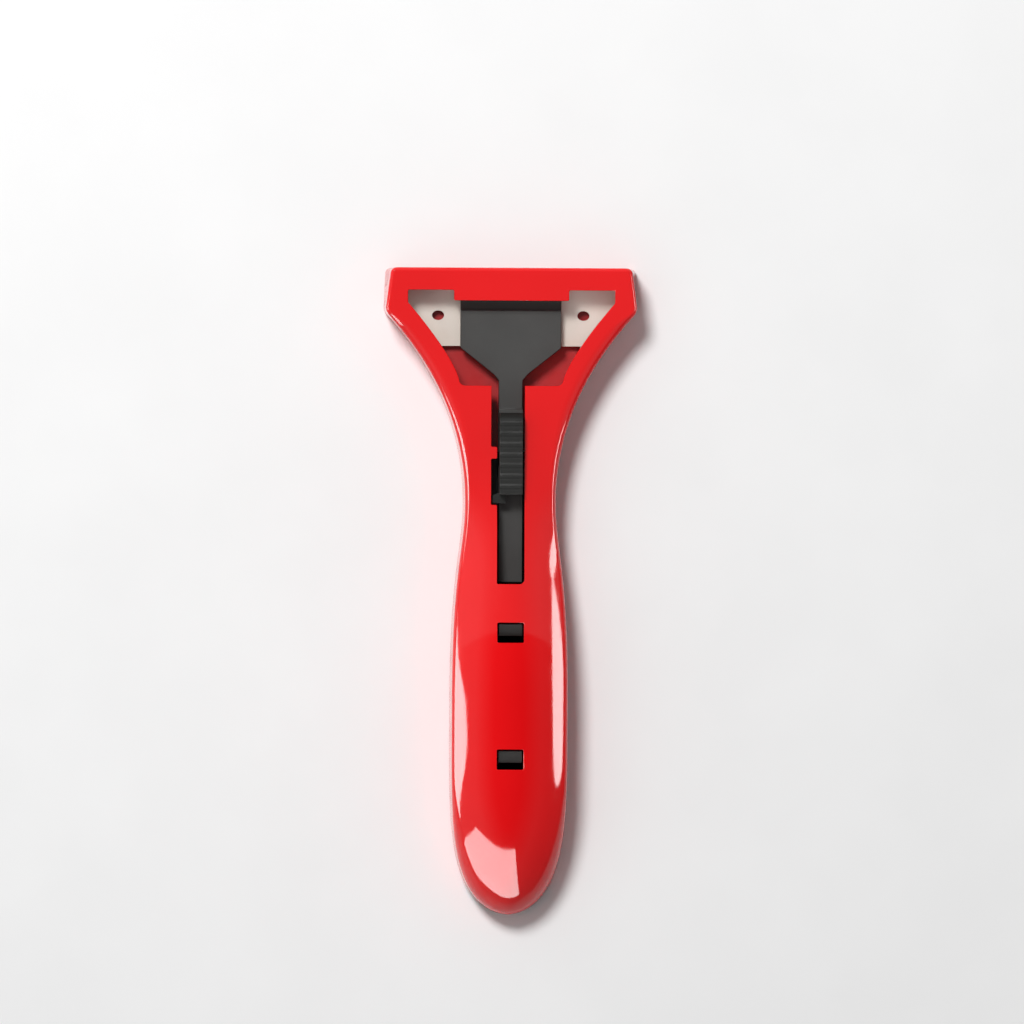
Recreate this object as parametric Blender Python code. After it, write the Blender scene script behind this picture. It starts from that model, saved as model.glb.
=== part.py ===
"""Retractable window scraper: a glossy handle, a sliding blade carriage and a sliding lid over spare blades.

X runs across the head, Y from the rounded end of the handle to the cutting edge, and Z from the flat back
of the handle up to its front. Lengths are in metres. A distance is measured from the cutting end of the
handle towards its rounded end.
"""

import math

import bmesh
import bpy
from mathutils import Vector

# Fits that every piece shares
GAP = 0.0003
OVERRUN = 0.0020

# Blades
BLADE_LENGTH = 0.0430
BLADE_HEIGHT = 0.0140
BLADE_THICKNESS = 0.0004
BLADE_BEVEL = 0.0012
BLADE_EDGE_THICKNESS = 0.0001
BLADE_SET_BACK = 0.0016
BLADE_CORNER_WIDTH = 0.0050
BLADE_CORNER_HEIGHT = 0.0064
BLADE_HOLE_SPACING = 0.0291
BLADE_HOLE_WIDTH = 0.00245
BLADE_HOLE_HEIGHT = 0.00195
BLADE_HOLE_FROM_BACK = 0.0061
PEG_SPACING = 0.0100
PEG_RADIUS = 0.0009
PEG_FROM_BACK = 0.0060

# Walls of the front shell
SIDE_WALL = 0.0018
FRONT_WALL = 0.0020
BAR_THICKNESS = 0.0039
HOLLOW_ROUND = 0.0015
HOLLOW_STEP_LENGTH = 0.0010

# Outline of the handle, seen from the front
BLADE_SIDE_ROOM = 0.0021
FLOOR_LENGTH = 0.0080
WINDOW_TO_NECK = 0.0232
NECK_TO_BELLY = 0.0392
HANDLE_END_LENGTH = 0.0143
NECK_WIDTH = 0.0188
GRIP_WIDTH = 0.0238
HEAD_CORNER_RADIUS = 0.0011
HEAD_SIDE_TAPER = 0.0003
SHOULDER_BEFORE_BLADE_CORNER = 0.0013
SHOULDER_CORNER_RADIUS = 0.0026
SHOULDER_CORNER_TURN = math.radians(42)
SHOULDER_HANDLE_SHARE = 0.33
NECK_HANDLE_SHARE = 0.434
WAIST_HANDLE_SHARE = 0.25
BELLY_HANDLE_SHARE = 0.663
BUTT_POWER = 4.8

# Side view of the handle
HEAD_THICKNESS = 0.0104
GRIP_THICKNESS = 0.0158
NOSE_HEIGHT = 0.0034
NOSE_LIFT = 0.0026
NOSE_START_SHARE = 0.90
WINDOW_TO_RISE = 0.0104
BUTT_FALL_POWER = 3.0
BUTT_ROUND_START_SHARE = 0.35
BUTT_ROUND_HEIGHT_SHARE = 0.62

# Roundness of the handle's long edges, with the wide soft edge of its shoulders, and crown of its front
HEAD_EDGE_ROUND = 0.0008
BAND_GROWTH_LENGTH = 0.0046
BAND_ROUND = 0.0029
BAND_DROP = 0.0014
GRIP_EDGE_ROUND = 0.0011
GRIP_EDGE_DROP = 0.0018
BACK_EDGE_ROUND = 0.0006
GRIP_BACK_ROUND = 0.0025
CROWN_SLOPE = 0.66
WINDOW_TO_CROWN = 0.0104
CROWN_GROWTH_LENGTH = 0.0280
HEAD_DRAFT = 0.0010
SIDE_DRAFT = 0.0003
MOST_DRAFT_SHARE = 0.25

# Window in the head
FRAME_SIDE_WIDTH = 0.0047
FRAME_FOOT_WIDTH = 0.0150
WINDOW_SIDE_LENGTH = 0.0025
WINDOW_FOOT_RADIUS = 0.0012
WINDOW_UPPER_HANDLE_SHARES = (0.39, 0.30)
WINDOW_LOWER_HANDLE_SHARES = (0.88, 0.73)
BAR_DEPTH = 0.0045
TONGUE_DEPTH = 0.0066
TONGUE_SIDE_MARGIN = 0.0014
SKIRT_WALL = 0.0015
SKIRT_BELOW_BLADE = 0.0006

# Slot for the thumb grip, with its notches and tooth
SLOT_CLEARANCE = 0.00035
SLOT_LENGTH = 0.0396
SLOT_CORNER = 0.0006
NOTCH_DEPTH = 0.0012
TOOTH_TOP_FROM_WINDOW = 0.0122
TOOTH_LENGTH = 0.0024
LOWER_NOTCH_LENGTH = 0.0092

# Square windows in the grip, where the rear cover is caught
CATCH_WIDTH = 0.0053
CATCH_LENGTH = 0.0040
CATCH_FROM_SLOT = 0.0097
CATCH_PITCH = 0.0253
HOOK_LENGTH_SHARE = 0.58
HOOK_DEPTH = 0.0010
HOOK_SLOPE = 0.0006
HOOK_POST_THICKNESS = 0.0014

# Back plate of the head and rear cover of the handle
BACK_THICKNESS = 0.0020
DECK_THICKNESS = 0.0014
DECK_MARGIN = 0.0015

# Screws of the back plate
SCREW_FROM_WINDOW = 0.0030
SCREW_EDGE_MARGIN = 0.0010
SCREW_RADIUS = 0.0010
SCREW_HEAD_RADIUS = 0.0020
SCREW_HEAD_HEIGHT = 0.0011
SCREW_SINK = 0.0002
SCREW_LENGTH = 0.0072
SCREW_RECESS_WIDTH = 0.0005
SCREW_RECESS_DEPTH = 0.0006
SCREW_RECESS_REACH_SHARE = 0.62
SCREW_TIP_SHARE = 0.35
SCREW_BOSS_WALL = 0.0011

# Plate that clamps the blade to the paddle
CLAMP_SIDE_MARGIN = 0.0011
CLAMP_HEIGHT = 0.0080
CLAMP_THICKNESS = 0.0008
CLAMP_CORNER = 0.0010

# Blade carriage: paddle, stem and tail
PADDLE_WIDTH = 0.0202
PADDLE_BELOW_TONGUE = 0.0019
PADDLE_PAST_BLADE = 0.0004
PADDLE_TAPER_LENGTH = 0.0053
PADDLE_TAPER_WIDTH = 0.0068
PADDLE_THICKNESS = 0.0020
LIP_LENGTH = 0.0033
LIP_THICKNESS = 0.0010
STEM_WIDTH = 0.0048
NECK_FILLET = 0.0012
SPINE_TOP_RISE = 0.0013
WINDOW_TO_SPINE = 0.0046
SKID_WIDTH = 0.0092
SKID_THICKNESS = 0.0010
SKID_SET_IN = 0.0024
SPINE_TO_SKID = 0.0100
RUNWAY_CLEARANCE = 0.0006

# Ribbed thumb grip on the carriage
THUMB_SIDE_CLEARANCE = 0.00043
THUMB_PROUD = 0.0027
SPINE_TO_THUMB = 0.0008
THUMB_RAMP_LENGTH = 0.0016
THUMB_RAMP_DROP = 0.0014
RIB_COUNT = 7
RIB_PITCH = 0.0021
RIB_DEPTH = 0.0006
RIB_CREST_SHARE = 0.46
RIB_ROOT_SHARE = 0.24
THUMB_CLIP_WIDTH = 0.0022
THUMB_CLIP_LENGTH = 0.0080
THUMB_CLIP_DEPTH = 0.0018

# Sprung catch beside the thumb grip
DETENT_LEAF_THICKNESS = 0.0005
DETENT_LEAF_HEIGHT = 0.0022
DETENT_LUG_LENGTH = 0.0026
DETENT_LUG_ROOM = 0.0003
DETENT_LUG_RAMP = 0.0010
DETENT_LEAF_SET_IN = 0.0009
DETENT_ROOT_LENGTH = 0.0022
DETENT_POCKET_DEPTH = 0.0021

# Lid over the spare blades
LID_SIDE_LAP = 0.0010
LID_THICKNESS = 0.0012
LID_UNDERCUT = 0.0006
POCKET_FROM_SLOT = 0.0083
LID_OVERLAP = 0.0020
LID_GROOVE_COUNT = 5
LID_GROOVE_PITCH = 0.0018
LID_GROOVE_WIDTH = 0.0008
LID_GROOVE_DEPTH = 0.0004
LID_GROOVE_LENGTH = 0.0090
LID_GROOVE_FROM_END = 0.0060

# How finely round shapes are divided
CORNER_STEPS = 4
SHOULDER_STEPS = 12
WAIST_STEPS = 11
BUTT_STEPS = 15
BUTT_CROWDING = 1.9
EDGE_STEPS = 7
BACK_EDGE_STEPS = 3
CROWN_STEPS = 5
HOLE_STEPS = 20
FRONT_EDGE_STEPS = 3
NOSE_CUT_SHARE = 0.0012

# Places along the handle, measured from the cutting end
BLADE_BACK_DISTANCE = BLADE_SET_BACK + BLADE_HEIGHT
HEAD_SIDE_LENGTH = BLADE_BACK_DISTANCE - BLADE_CORNER_HEIGHT - SHOULDER_BEFORE_BLADE_CORNER
WINDOW_FOOT_DISTANCE = BLADE_BACK_DISTANCE + FLOOR_LENGTH
NECK_DISTANCE = WINDOW_FOOT_DISTANCE + WINDOW_TO_NECK
GRIP_DISTANCE = NECK_DISTANCE + NECK_TO_BELLY
RISE_DISTANCE = WINDOW_FOOT_DISTANCE + WINDOW_TO_RISE
CROWN_DISTANCE = WINDOW_FOOT_DISTANCE + WINDOW_TO_CROWN
TOOTH_TOP_DISTANCE = WINDOW_FOOT_DISTANCE + TOOTH_TOP_FROM_WINDOW
TOOTH_LOW_DISTANCE = TOOTH_TOP_DISTANCE + TOOTH_LENGTH
NOTCH_LOW_DISTANCE = TOOTH_LOW_DISTANCE + LOWER_NOTCH_LENGTH
BACK_JOINT_DISTANCE = TOOTH_TOP_DISTANCE + TOOTH_LENGTH / 3
SLOT_END_DISTANCE = WINDOW_FOOT_DISTANCE + SLOT_LENGTH
POCKET_DISTANCE = SLOT_END_DISTANCE + POCKET_FROM_SLOT
POCKET_LENGTH = BLADE_LENGTH + 2 * GAP
LID_DISTANCE = POCKET_DISTANCE - LID_OVERLAP
OVERALL_LENGTH = POCKET_DISTANCE + POCKET_LENGTH + HANDLE_END_LENGTH
BUTT_LENGTH = OVERALL_LENGTH - GRIP_DISTANCE
HEAD_EDGE = OVERALL_LENGTH / 2
SCREW_DISTANCE = WINDOW_FOOT_DISTANCE + SCREW_FROM_WINDOW
SPINE_START_DISTANCE = WINDOW_FOOT_DISTANCE + WINDOW_TO_SPINE
HOLLOW_STEP_DISTANCE = SCREW_DISTANCE + SCREW_HEAD_RADIUS + 2 * GAP
THUMB_START_DISTANCE = SPINE_START_DISTANCE + SPINE_TO_THUMB
THUMB_LENGTH = THUMB_RAMP_LENGTH + RIB_COUNT * RIB_PITCH
THUMB_END_DISTANCE = THUMB_START_DISTANCE + THUMB_LENGTH
PADDLE_TOP_DISTANCE = TONGUE_DEPTH + PADDLE_BELOW_TONGUE

# Widths
HEAD_WIDTH = BLADE_LENGTH + 2 * (BLADE_SIDE_ROOM + SIDE_WALL)
WINDOW_WIDTH = HEAD_WIDTH - 2 * FRAME_SIDE_WIDTH
WINDOW_FOOT_WIDTH = HEAD_WIDTH - 2 * FRAME_FOOT_WIDTH
TONGUE_WIDTH = PADDLE_WIDTH + 2 * TONGUE_SIDE_MARGIN
CLAMP_WIDTH = PADDLE_WIDTH - 2 * CLAMP_SIDE_MARGIN
SLOT_HALF = STEM_WIDTH / 2 + SLOT_CLEARANCE
NOTCH_HALF = SLOT_HALF + NOTCH_DEPTH
THUMB_WIDTH = 2 * (SLOT_HALF - THUMB_SIDE_CLEARANCE)
LID_WIDTH = BLADE_HEIGHT + 2 * LID_SIDE_LAP

# Heights above the flat back
BAR_UNDERSIDE = HEAD_THICKNESS - BAR_THICKNESS
CLAMP_BOTTOM = BACK_THICKNESS + GAP
BLADE_BOTTOM = CLAMP_BOTTOM + CLAMP_THICKNESS + GAP
PADDLE_BOTTOM = BLADE_BOTTOM + BLADE_THICKNESS + GAP
PADDLE_TOP = PADDLE_BOTTOM + PADDLE_THICKNESS
SPINE_TOP = PADDLE_TOP + SPINE_TOP_RISE
THUMB_BOTTOM = SPINE_TOP + GAP
THUMB_TOP = HEAD_THICKNESS + THUMB_PROUD
SPARE_LOW_BOTTOM = LID_THICKNESS + GAP
SPARE_HIGH_BOTTOM = SPARE_LOW_BOTTOM + BLADE_THICKNESS + GAP
POCKET_CEILING = SPARE_HIGH_BOTTOM + BLADE_THICKNESS + GAP
DECK_TOP = POCKET_CEILING + DECK_THICKNESS


def clear_scene():
    for thing in list(bpy.data.objects):
        bpy.data.objects.remove(thing, do_unlink=True)


def along(distance):
    """Y of a place that lies the given distance from the cutting end."""
    return HEAD_EDGE - distance


def blend(low, high, share):
    return low + (high - low) * share


def smooth(share):
    share = min(max(share, 0), 1)
    return share * share * (3 - 2 * share)


def curve_points(start, near_start, near_end, end, steps):
    """Points of one cubic curve, from just after its start to its end."""
    points = []
    for step in range(1, steps + 1):
        t = step / steps
        a, b, c, d = (1 - t) ** 3, 3 * t * (1 - t) ** 2, 3 * t * t * (1 - t), t**3
        points.append(
            tuple(a * p + b * q + c * r + d * s for p, q, r, s in zip(start, near_start, near_end, end))
        )
    return points


def outline(inset=0.0):
    """The handle's half width along its length, as (distance, half width), drawn in by the inset."""
    head = HEAD_WIDTH / 2 - inset
    neck = NECK_WIDTH / 2 - inset
    grip = GRIP_WIDTH / 2 - inset
    end = head - HEAD_SIDE_TAPER
    corner = max(HEAD_CORNER_RADIUS - inset, 0)
    points = [(0, end - corner)]
    if corner:
        for step in range(1, CORNER_STEPS + 1):
            turn = math.pi / 2 * step / CORNER_STEPS
            points.append((corner * (1 - math.cos(turn)), end - corner + corner * math.sin(turn)))
    else:
        points.append((HEAD_CORNER_RADIUS, end))
    points.append((HEAD_SIDE_LENGTH / 2, (end + head) / 2))
    points.append((HEAD_SIDE_LENGTH, head))
    radius = max(SHOULDER_CORNER_RADIUS - inset, GAP)
    for step in range(1, CORNER_STEPS + 1):
        turn = SHOULDER_CORNER_TURN * step / CORNER_STEPS
        points.append((HEAD_SIDE_LENGTH + radius * math.sin(turn), head - radius * (1 - math.cos(turn))))
    start = points[-1]
    shoulder = NECK_DISTANCE - start[0]
    reach = shoulder * SHOULDER_HANDLE_SHARE
    near_start = (
        start[0] + reach * math.cos(SHOULDER_CORNER_TURN),
        start[1] - reach * math.sin(SHOULDER_CORNER_TURN),
    )
    waist = (NECK_DISTANCE, neck)
    near_end = (NECK_DISTANCE - shoulder * NECK_HANDLE_SHARE, neck)
    points += curve_points(start, near_start, near_end, waist, SHOULDER_STEPS)
    swell = GRIP_DISTANCE - NECK_DISTANCE
    points += curve_points(
        waist,
        (NECK_DISTANCE + swell * WAIST_HANDLE_SHARE, neck),
        (GRIP_DISTANCE - swell * BELLY_HANDLE_SHARE, grip),
        (GRIP_DISTANCE, grip),
        WAIST_STEPS,
    )
    butt = BUTT_LENGTH - inset
    for step in range(1, BUTT_STEPS + 1):
        share = 1 - (1 - step / BUTT_STEPS) ** BUTT_CROWDING
        share = min(share, 1 - NOSE_CUT_SHARE)
        points.append((GRIP_DISTANCE + butt * share, grip * math.sqrt(1 - share**BUTT_POWER)))
    return points


def half_width_at(points, distance):
    for (near, wide), (far, narrow) in zip(points, points[1:]):
        if near <= distance <= far and far > near:
            return blend(wide, narrow, (distance - near) / (far - near))
    return points[-1][1]


def stretch(points, start, end):
    """The part of an outline between two distances, with a point at each."""
    inner = [p for p in points if start + GAP < p[0] < end - GAP]
    return [(start, half_width_at(points, start))] + inner + [(end, half_width_at(points, end))]


def butt_share(distance):
    return max((distance - GRIP_DISTANCE) / BUTT_LENGTH, 0)


def front_height(distance):
    """Height of the front face on the centre line."""
    rise = smooth((distance - RISE_DISTANCE) / (GRIP_DISTANCE - RISE_DISTANCE))
    height = blend(HEAD_THICKNESS, GRIP_THICKNESS, rise)
    fall = math.sqrt(max(1 - butt_share(distance) ** BUTT_FALL_POWER, 0))
    height = blend(NOSE_HEIGHT, height, fall) if distance > GRIP_DISTANCE else height
    if distance < HEAD_EDGE_ROUND:
        left = HEAD_EDGE_ROUND - max(distance, 0)
        height -= HEAD_EDGE_ROUND - math.sqrt(HEAD_EDGE_ROUND**2 - left**2)
    return height


def back_height(distance):
    """Height of the back face, which is flat up to the rounded end."""
    lift = (butt_share(distance) - NOSE_START_SHARE) / (1 - NOSE_START_SHARE)
    return NOSE_LIFT * (1 - math.sqrt(1 - min(max(lift, 0), 1) ** 2))


def edge_sizes(distance, half_width):
    """Width and drop of the front edge's rounding, rounding at the back, and slope of the crowned front."""
    grow = smooth((distance - HEAD_SIDE_LENGTH) / BAND_GROWTH_LENGTH)
    fade = smooth((distance - WINDOW_FOOT_DISTANCE) / (NECK_DISTANCE - WINDOW_FOOT_DISTANCE))
    width = blend(blend(HEAD_EDGE_ROUND, BAND_ROUND, grow), GRIP_EDGE_ROUND, fade)
    drop = blend(blend(HEAD_EDGE_ROUND, BAND_DROP, grow), GRIP_EDGE_DROP, fade)
    back = blend(BACK_EDGE_ROUND, GRIP_BACK_ROUND, fade)
    slope = CROWN_SLOPE * smooth((distance - CROWN_DISTANCE) / CROWN_GROWTH_LENGTH)
    if distance > GRIP_DISTANCE:
        slim = min(half_width / (GRIP_WIDTH / 2), 1)
        height = front_height(distance) - back_height(distance)
        dome = smooth((butt_share(distance) - BUTT_ROUND_START_SHARE) / (1 - BUTT_ROUND_START_SHARE))
        width = blend(width * slim, half_width * (1 - MOST_DRAFT_SHARE), dome)
        drop = blend(drop * height / GRIP_THICKNESS, height * BUTT_ROUND_HEIGHT_SHARE, dome)
        back *= slim
    return width, drop, back, slope


def side_draft(distance, half_width):
    """How far the side leans in, which is most at the cutting end."""
    draft = blend(HEAD_DRAFT, SIDE_DRAFT, min(max(distance / HEAD_SIDE_LENGTH, 0), 1))
    return min(draft, half_width * MOST_DRAFT_SHARE)


def crown_sizes(half_width, width, drop, slope):
    """Where the rounding of the front edge ends: its angle, the crown's half width, and the crown's fall."""
    last_turn = math.atan2(drop, width * slope)
    shoulder = half_width - width + width * math.cos(last_turn)
    return last_turn, shoulder, shoulder * slope / 2


def front_arc(half_width, top, width, drop, slope):
    """The front of a section, from the top of its side over the rounded edge and the crown to the middle."""
    last_turn, shoulder, crown = crown_sizes(half_width, width, drop, slope)
    middle = half_width - width
    base = top - crown - drop * math.sin(last_turn)
    side = []
    for step in range(EDGE_STEPS + 1):
        turn = last_turn * step / EDGE_STEPS
        side.append((middle + width * math.cos(turn), base + drop * math.sin(turn)))
    for step in range(1, CROWN_STEPS):
        share = 1 - step / CROWN_STEPS
        side.append((shoulder * share, top - crown * share * share))
    side.append((0, top))
    return side


def outer_ring(distance, half_width):
    """One closed section of the handle's outside."""
    bottom = back_height(distance)
    width, drop, back, slope = edge_sizes(distance, half_width)
    side = [(0, bottom)]
    for step in range(BACK_EDGE_STEPS + 1):
        turn = math.pi / 2 * step / BACK_EDGE_STEPS
        side.append((half_width - back + back * math.sin(turn), bottom + back - back * math.cos(turn)))
    leaned = half_width - side_draft(distance, half_width)
    side += front_arc(leaned, front_height(distance), width, drop, slope)
    return closed_ring(side, along(distance))


def hollow_ring(distance, half_width):
    """One closed section of the space inside the front shell, which is open at the back."""
    opened = min(max((distance - HOLLOW_STEP_DISTANCE) / HOLLOW_STEP_LENGTH, 0), 1)
    ceiling = blend(BAR_UNDERSIDE, front_height(distance) - FRONT_WALL, opened)
    outer_width, outer_drop, _, slope = edge_sizes(distance, half_width)
    width = max(outer_width - SIDE_WALL, GAP)
    drop = max(outer_drop - FRONT_WALL, GAP)
    if distance > HOLLOW_STEP_DISTANCE:
        width = max(width, min(HOLLOW_ROUND, half_width / 2))
        drop = max(drop, HOLLOW_ROUND)
    side = [(0, -OVERRUN), (half_width, -OVERRUN)]
    side += front_arc(half_width, ceiling, width, drop, slope * opened)
    return closed_ring(side, along(distance))


def closed_ring(side, y):
    """A full section from its right half, which runs from the middle of the back round to the front."""
    right = [Vector((x, y, z)) for x, z in side]
    left = [Vector((-x, y, z)) for x, z in reversed(side[1:-1])]
    return right + left


def material(name, colour, roughness, metallic=0.0):
    made = bpy.data.materials.new(name)
    made.use_nodes = True
    shader = made.node_tree.nodes["Principled BSDF"]
    shader.inputs["Base Color"].default_value = (*colour, 1)
    shader.inputs["Roughness"].default_value = roughness
    shader.inputs["Metallic"].default_value = metallic
    made.diffuse_color = (*colour, 1)
    return made


def place(name, mesh_maker, look=None, rounded=False):
    """Turns the filled bmesh into a named object with its faces pointing out."""
    bmesh.ops.recalc_face_normals(mesh_maker, faces=mesh_maker.faces)
    mesh = bpy.data.meshes.new(name)
    mesh_maker.to_mesh(mesh)
    mesh_maker.free()
    made = bpy.data.objects.new(name, mesh)
    bpy.context.scene.collection.objects.link(made)
    if look is not None:
        mesh.materials.append(look)
    if rounded:
        mesh.shade_smooth()
        mesh.set_sharp_from_angle(angle=math.radians(32))
    return made


def loft(name, rings, look=None, rounded=False):
    """A solid through equal rings of points, closed at both ends."""
    work = bmesh.new()
    corners = [[work.verts.new(point) for point in ring] for ring in rings]
    count = len(rings[0])
    for near, far in zip(corners, corners[1:]):
        for index in range(count):
            after = (index + 1) % count
            work.faces.new((near[index], near[after], far[after], far[index]))
    work.faces.new(corners[0])
    work.faces.new(list(reversed(corners[-1])))
    return place(name, work, look, rounded)


def prism(name, points, low, high, look=None, rounded=False):
    """An upright solid over a plan outline of (x, y) points."""
    rings = [[Vector((x, y, z)) for x, y in points] for z in (low, high)]
    return loft(name, rings, look, rounded)


def cross_prism(name, points, left, right, look=None, rounded=False):
    """A solid across the handle, over a side outline of (y, z) points."""
    rings = [[Vector((x, y, z)) for y, z in points] for x in (left, right)]
    return loft(name, rings, look, rounded)


def cut_box(name, x_range, y_range, z_range):
    left, right = x_range
    low, high = y_range
    return prism(name, [(left, low), (right, low), (right, high), (left, high)], *z_range)


def circle(centre, radius, radius_y=None):
    radius_y = radius if radius_y is None else radius_y
    turns = [2 * math.pi * step / HOLE_STEPS for step in range(HOLE_STEPS)]
    return [(centre[0] + radius * math.cos(turn), centre[1] + radius_y * math.sin(turn)) for turn in turns]


def mirrored(points):
    """A closed outline from its right half, which runs from the top of the centre line to its foot."""
    left = [(-x, y) for x, y in reversed(points) if x]
    return list(points) + left


def use(target, tool, operation):
    """Cuts, joins or trims the target with a tool that is only a guide itself."""
    tool.hide_render = True
    tool.display_type = "WIRE"
    step = target.modifiers.new(tool.name, "BOOLEAN")
    step.operation = operation
    step.solver = "EXACT"
    step.object = tool
    return target


def cut(target, tool):
    return use(target, tool, "DIFFERENCE")


def join(target, tool):
    return use(target, tool, "UNION")


def plan_strip(points, start, end):
    """Plan outline of the handle between two distances."""
    right = [(width, along(distance)) for distance, width in stretch(points, start, end)]
    return right + [(-x, y) for x, y in reversed(right)]


def window_outline(grow=0.0):
    """The window in the head, right half first, from the bar's tongue round to the thumb slot."""
    top = WINDOW_WIDTH / 2 + grow
    foot = WINDOW_FOOT_WIDTH / 2 + grow
    side_y = along(BAR_DEPTH + WINDOW_SIDE_LENGTH)
    foot_y = along(WINDOW_FOOT_DISTANCE) - grow
    corner_y = foot_y + WINDOW_FOOT_RADIUS
    tongue = TONGUE_WIDTH / 2
    points = [(0, along(TONGUE_DEPTH)), (tongue, along(TONGUE_DEPTH)), (tongue, along(BAR_DEPTH))]
    points += [(top, along(BAR_DEPTH)), (top, side_y)]
    drop = top - foot
    fall = side_y - corner_y
    upper, lower = WINDOW_UPPER_HANDLE_SHARES, WINDOW_LOWER_HANDLE_SHARES
    points += curve_points(
        (top, side_y),
        (top - drop * upper[0], side_y - fall * upper[1]),
        (top - drop * lower[0], side_y - fall * lower[1]),
        (foot, corner_y),
        2 * CORNER_STEPS,
    )
    for step in range(1, CORNER_STEPS + 1):
        turn = math.pi / 2 * step / CORNER_STEPS
        x = foot - WINDOW_FOOT_RADIUS * (1 - math.cos(turn))
        points.append((x, corner_y - WINDOW_FOOT_RADIUS * math.sin(turn)))
    points.append((0, foot_y))
    return mirrored(points)


def slot_outline():
    """The thumb slot, with the two notches and the tooth on its left."""
    top = along(WINDOW_FOOT_DISTANCE) + OVERRUN
    end = along(SLOT_END_DISTANCE)
    return [
        (SLOT_HALF, top),
        (SLOT_HALF, end + SLOT_CORNER),
        (SLOT_HALF - SLOT_CORNER, end),
        (-SLOT_HALF, end),
        (-SLOT_HALF, along(NOTCH_LOW_DISTANCE)),
        (-NOTCH_HALF, along(NOTCH_LOW_DISTANCE)),
        (-NOTCH_HALF, along(TOOTH_LOW_DISTANCE)),
        (-SLOT_HALF, along(TOOTH_LOW_DISTANCE)),
        (-SLOT_HALF, along(TOOTH_TOP_DISTANCE)),
        (-NOTCH_HALF, along(TOOTH_TOP_DISTANCE)),
        (-NOTCH_HALF, top),
    ]


def catch_places():
    """Y of the middle of each square window."""
    first = along(SLOT_END_DISTANCE + CATCH_FROM_SLOT)
    return [first, first - CATCH_PITCH]


def screw_places():
    """Screws stand just inside the wall, below the window."""
    wall = half_width_at(outline(SIDE_WALL), SCREW_DISTANCE)
    x = wall - SCREW_HEAD_RADIUS - SCREW_EDGE_MARGIN
    return {"left": (-x, along(SCREW_DISTANCE)), "right": (x, along(SCREW_DISTANCE))}


def lid_outline(clearance):
    """Dovetail section of the lid as (x, z), grown by a clearance for its channel."""
    wide = LID_WIDTH / 2 + clearance
    narrow = wide - LID_UNDERCUT
    high = LID_THICKNESS + clearance
    slope = LID_UNDERCUT / LID_THICKNESS
    low_half = narrow - slope * OVERRUN
    high_half = wide + slope * clearance
    return [(-low_half, -OVERRUN), (low_half, -OVERRUN), (high_half, high), (-high_half, high)]


def lid_bar(name, clearance, look=None):
    """The dovetail section run out past the rounded end of the handle."""
    start = along(LID_DISTANCE) + clearance
    end = along(OVERALL_LENGTH) - OVERRUN
    rings = [[Vector((x, y, z)) for x, z in lid_outline(clearance)] for y in (start, end)]
    return loft(name, rings, look)


def make_handle_hollow():
    """The space inside the front shell, less the window's skirt and the screw bosses."""
    rings = [hollow_ring(-OVERRUN, HEAD_WIDTH / 2 - SIDE_WALL)]
    places = outline(SIDE_WALL)
    step_start = (HOLLOW_STEP_DISTANCE, half_width_at(places, HOLLOW_STEP_DISTANCE))
    step_end = HOLLOW_STEP_DISTANCE + HOLLOW_STEP_LENGTH
    places += [step_start, (step_end, half_width_at(places, step_end))]
    for distance, half_width in sorted(places)[1:]:
        rings.append(hollow_ring(distance, half_width))
    hollow = loft("guide_hollow", rings)

    skirt_low = BACK_THICKNESS + GAP
    skirt_high = BAR_UNDERSIDE + OVERRUN
    skirt = prism("guide_skirt", window_outline(SKIRT_WALL), skirt_low, skirt_high)
    above = (along(BLADE_BACK_DISTANCE + SKIRT_BELOW_BLADE), HEAD_EDGE + OVERRUN)
    cut(skirt, cut_box("guide_skirt_top", (-HEAD_WIDTH, HEAD_WIDTH), above, (0, HEAD_THICKNESS)))
    runway = SKID_WIDTH / 2 + RUNWAY_CLEARANCE
    foot = along(WINDOW_FOOT_DISTANCE)
    runway_y = (foot - SKIRT_WALL - OVERRUN, foot + OVERRUN)
    cut(skirt, cut_box("guide_runway", (-runway, runway), runway_y, (0, BAR_UNDERSIDE)))
    cut(hollow, skirt)
    for side, spot in screw_places().items():
        boss = circle(spot, SCREW_RADIUS + GAP + SCREW_BOSS_WALL)
        cut(hollow, prism("guide_boss_" + side, boss, skirt_low, skirt_high))
    return hollow


def make_outer_form(name, look=None, rounded=False):
    return loft(name, [outer_ring(*spot) for spot in outer_stations()], look, rounded)


def outer_stations():
    """Places of the outside's sections, with a few more where the front edge of the head is rounded."""
    stations = outline()
    for step in range(1, FRONT_EDGE_STEPS):
        distance = HEAD_EDGE_ROUND * step / FRONT_EDGE_STEPS
        stations.append((distance, half_width_at(sorted(stations), distance)))
    return sorted(stations)


def make_front_shell(red):
    """The red moulding: head, bar, window, slot and grip."""
    shell = make_outer_form("front_shell", red, rounded=True)
    high = GRIP_THICKNESS + OVERRUN
    cut(shell, make_handle_hollow())
    cut(shell, prism("guide_window", window_outline(), -OVERRUN, high))
    slot_low = BAR_UNDERSIDE - GAP
    cut(shell, prism("guide_slot", slot_outline(), slot_low, high))
    for index, y in enumerate(catch_places(), 1):
        x_range = (-CATCH_WIDTH / 2, CATCH_WIDTH / 2)
        y_range = (y - CATCH_LENGTH / 2, y + CATCH_LENGTH / 2)
        cut(shell, cut_box(f"guide_catch_{index}", x_range, y_range, (DECK_TOP, high)))
    for side, spot in screw_places().items():
        depth = BACK_THICKNESS + SCREW_LENGTH
        cut(shell, prism("guide_screw_hole_" + side, circle(spot, SCREW_RADIUS + GAP), 0, depth))
    cut(shell, lid_bar("guide_lid_channel_shell", GAP))
    return shell


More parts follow.
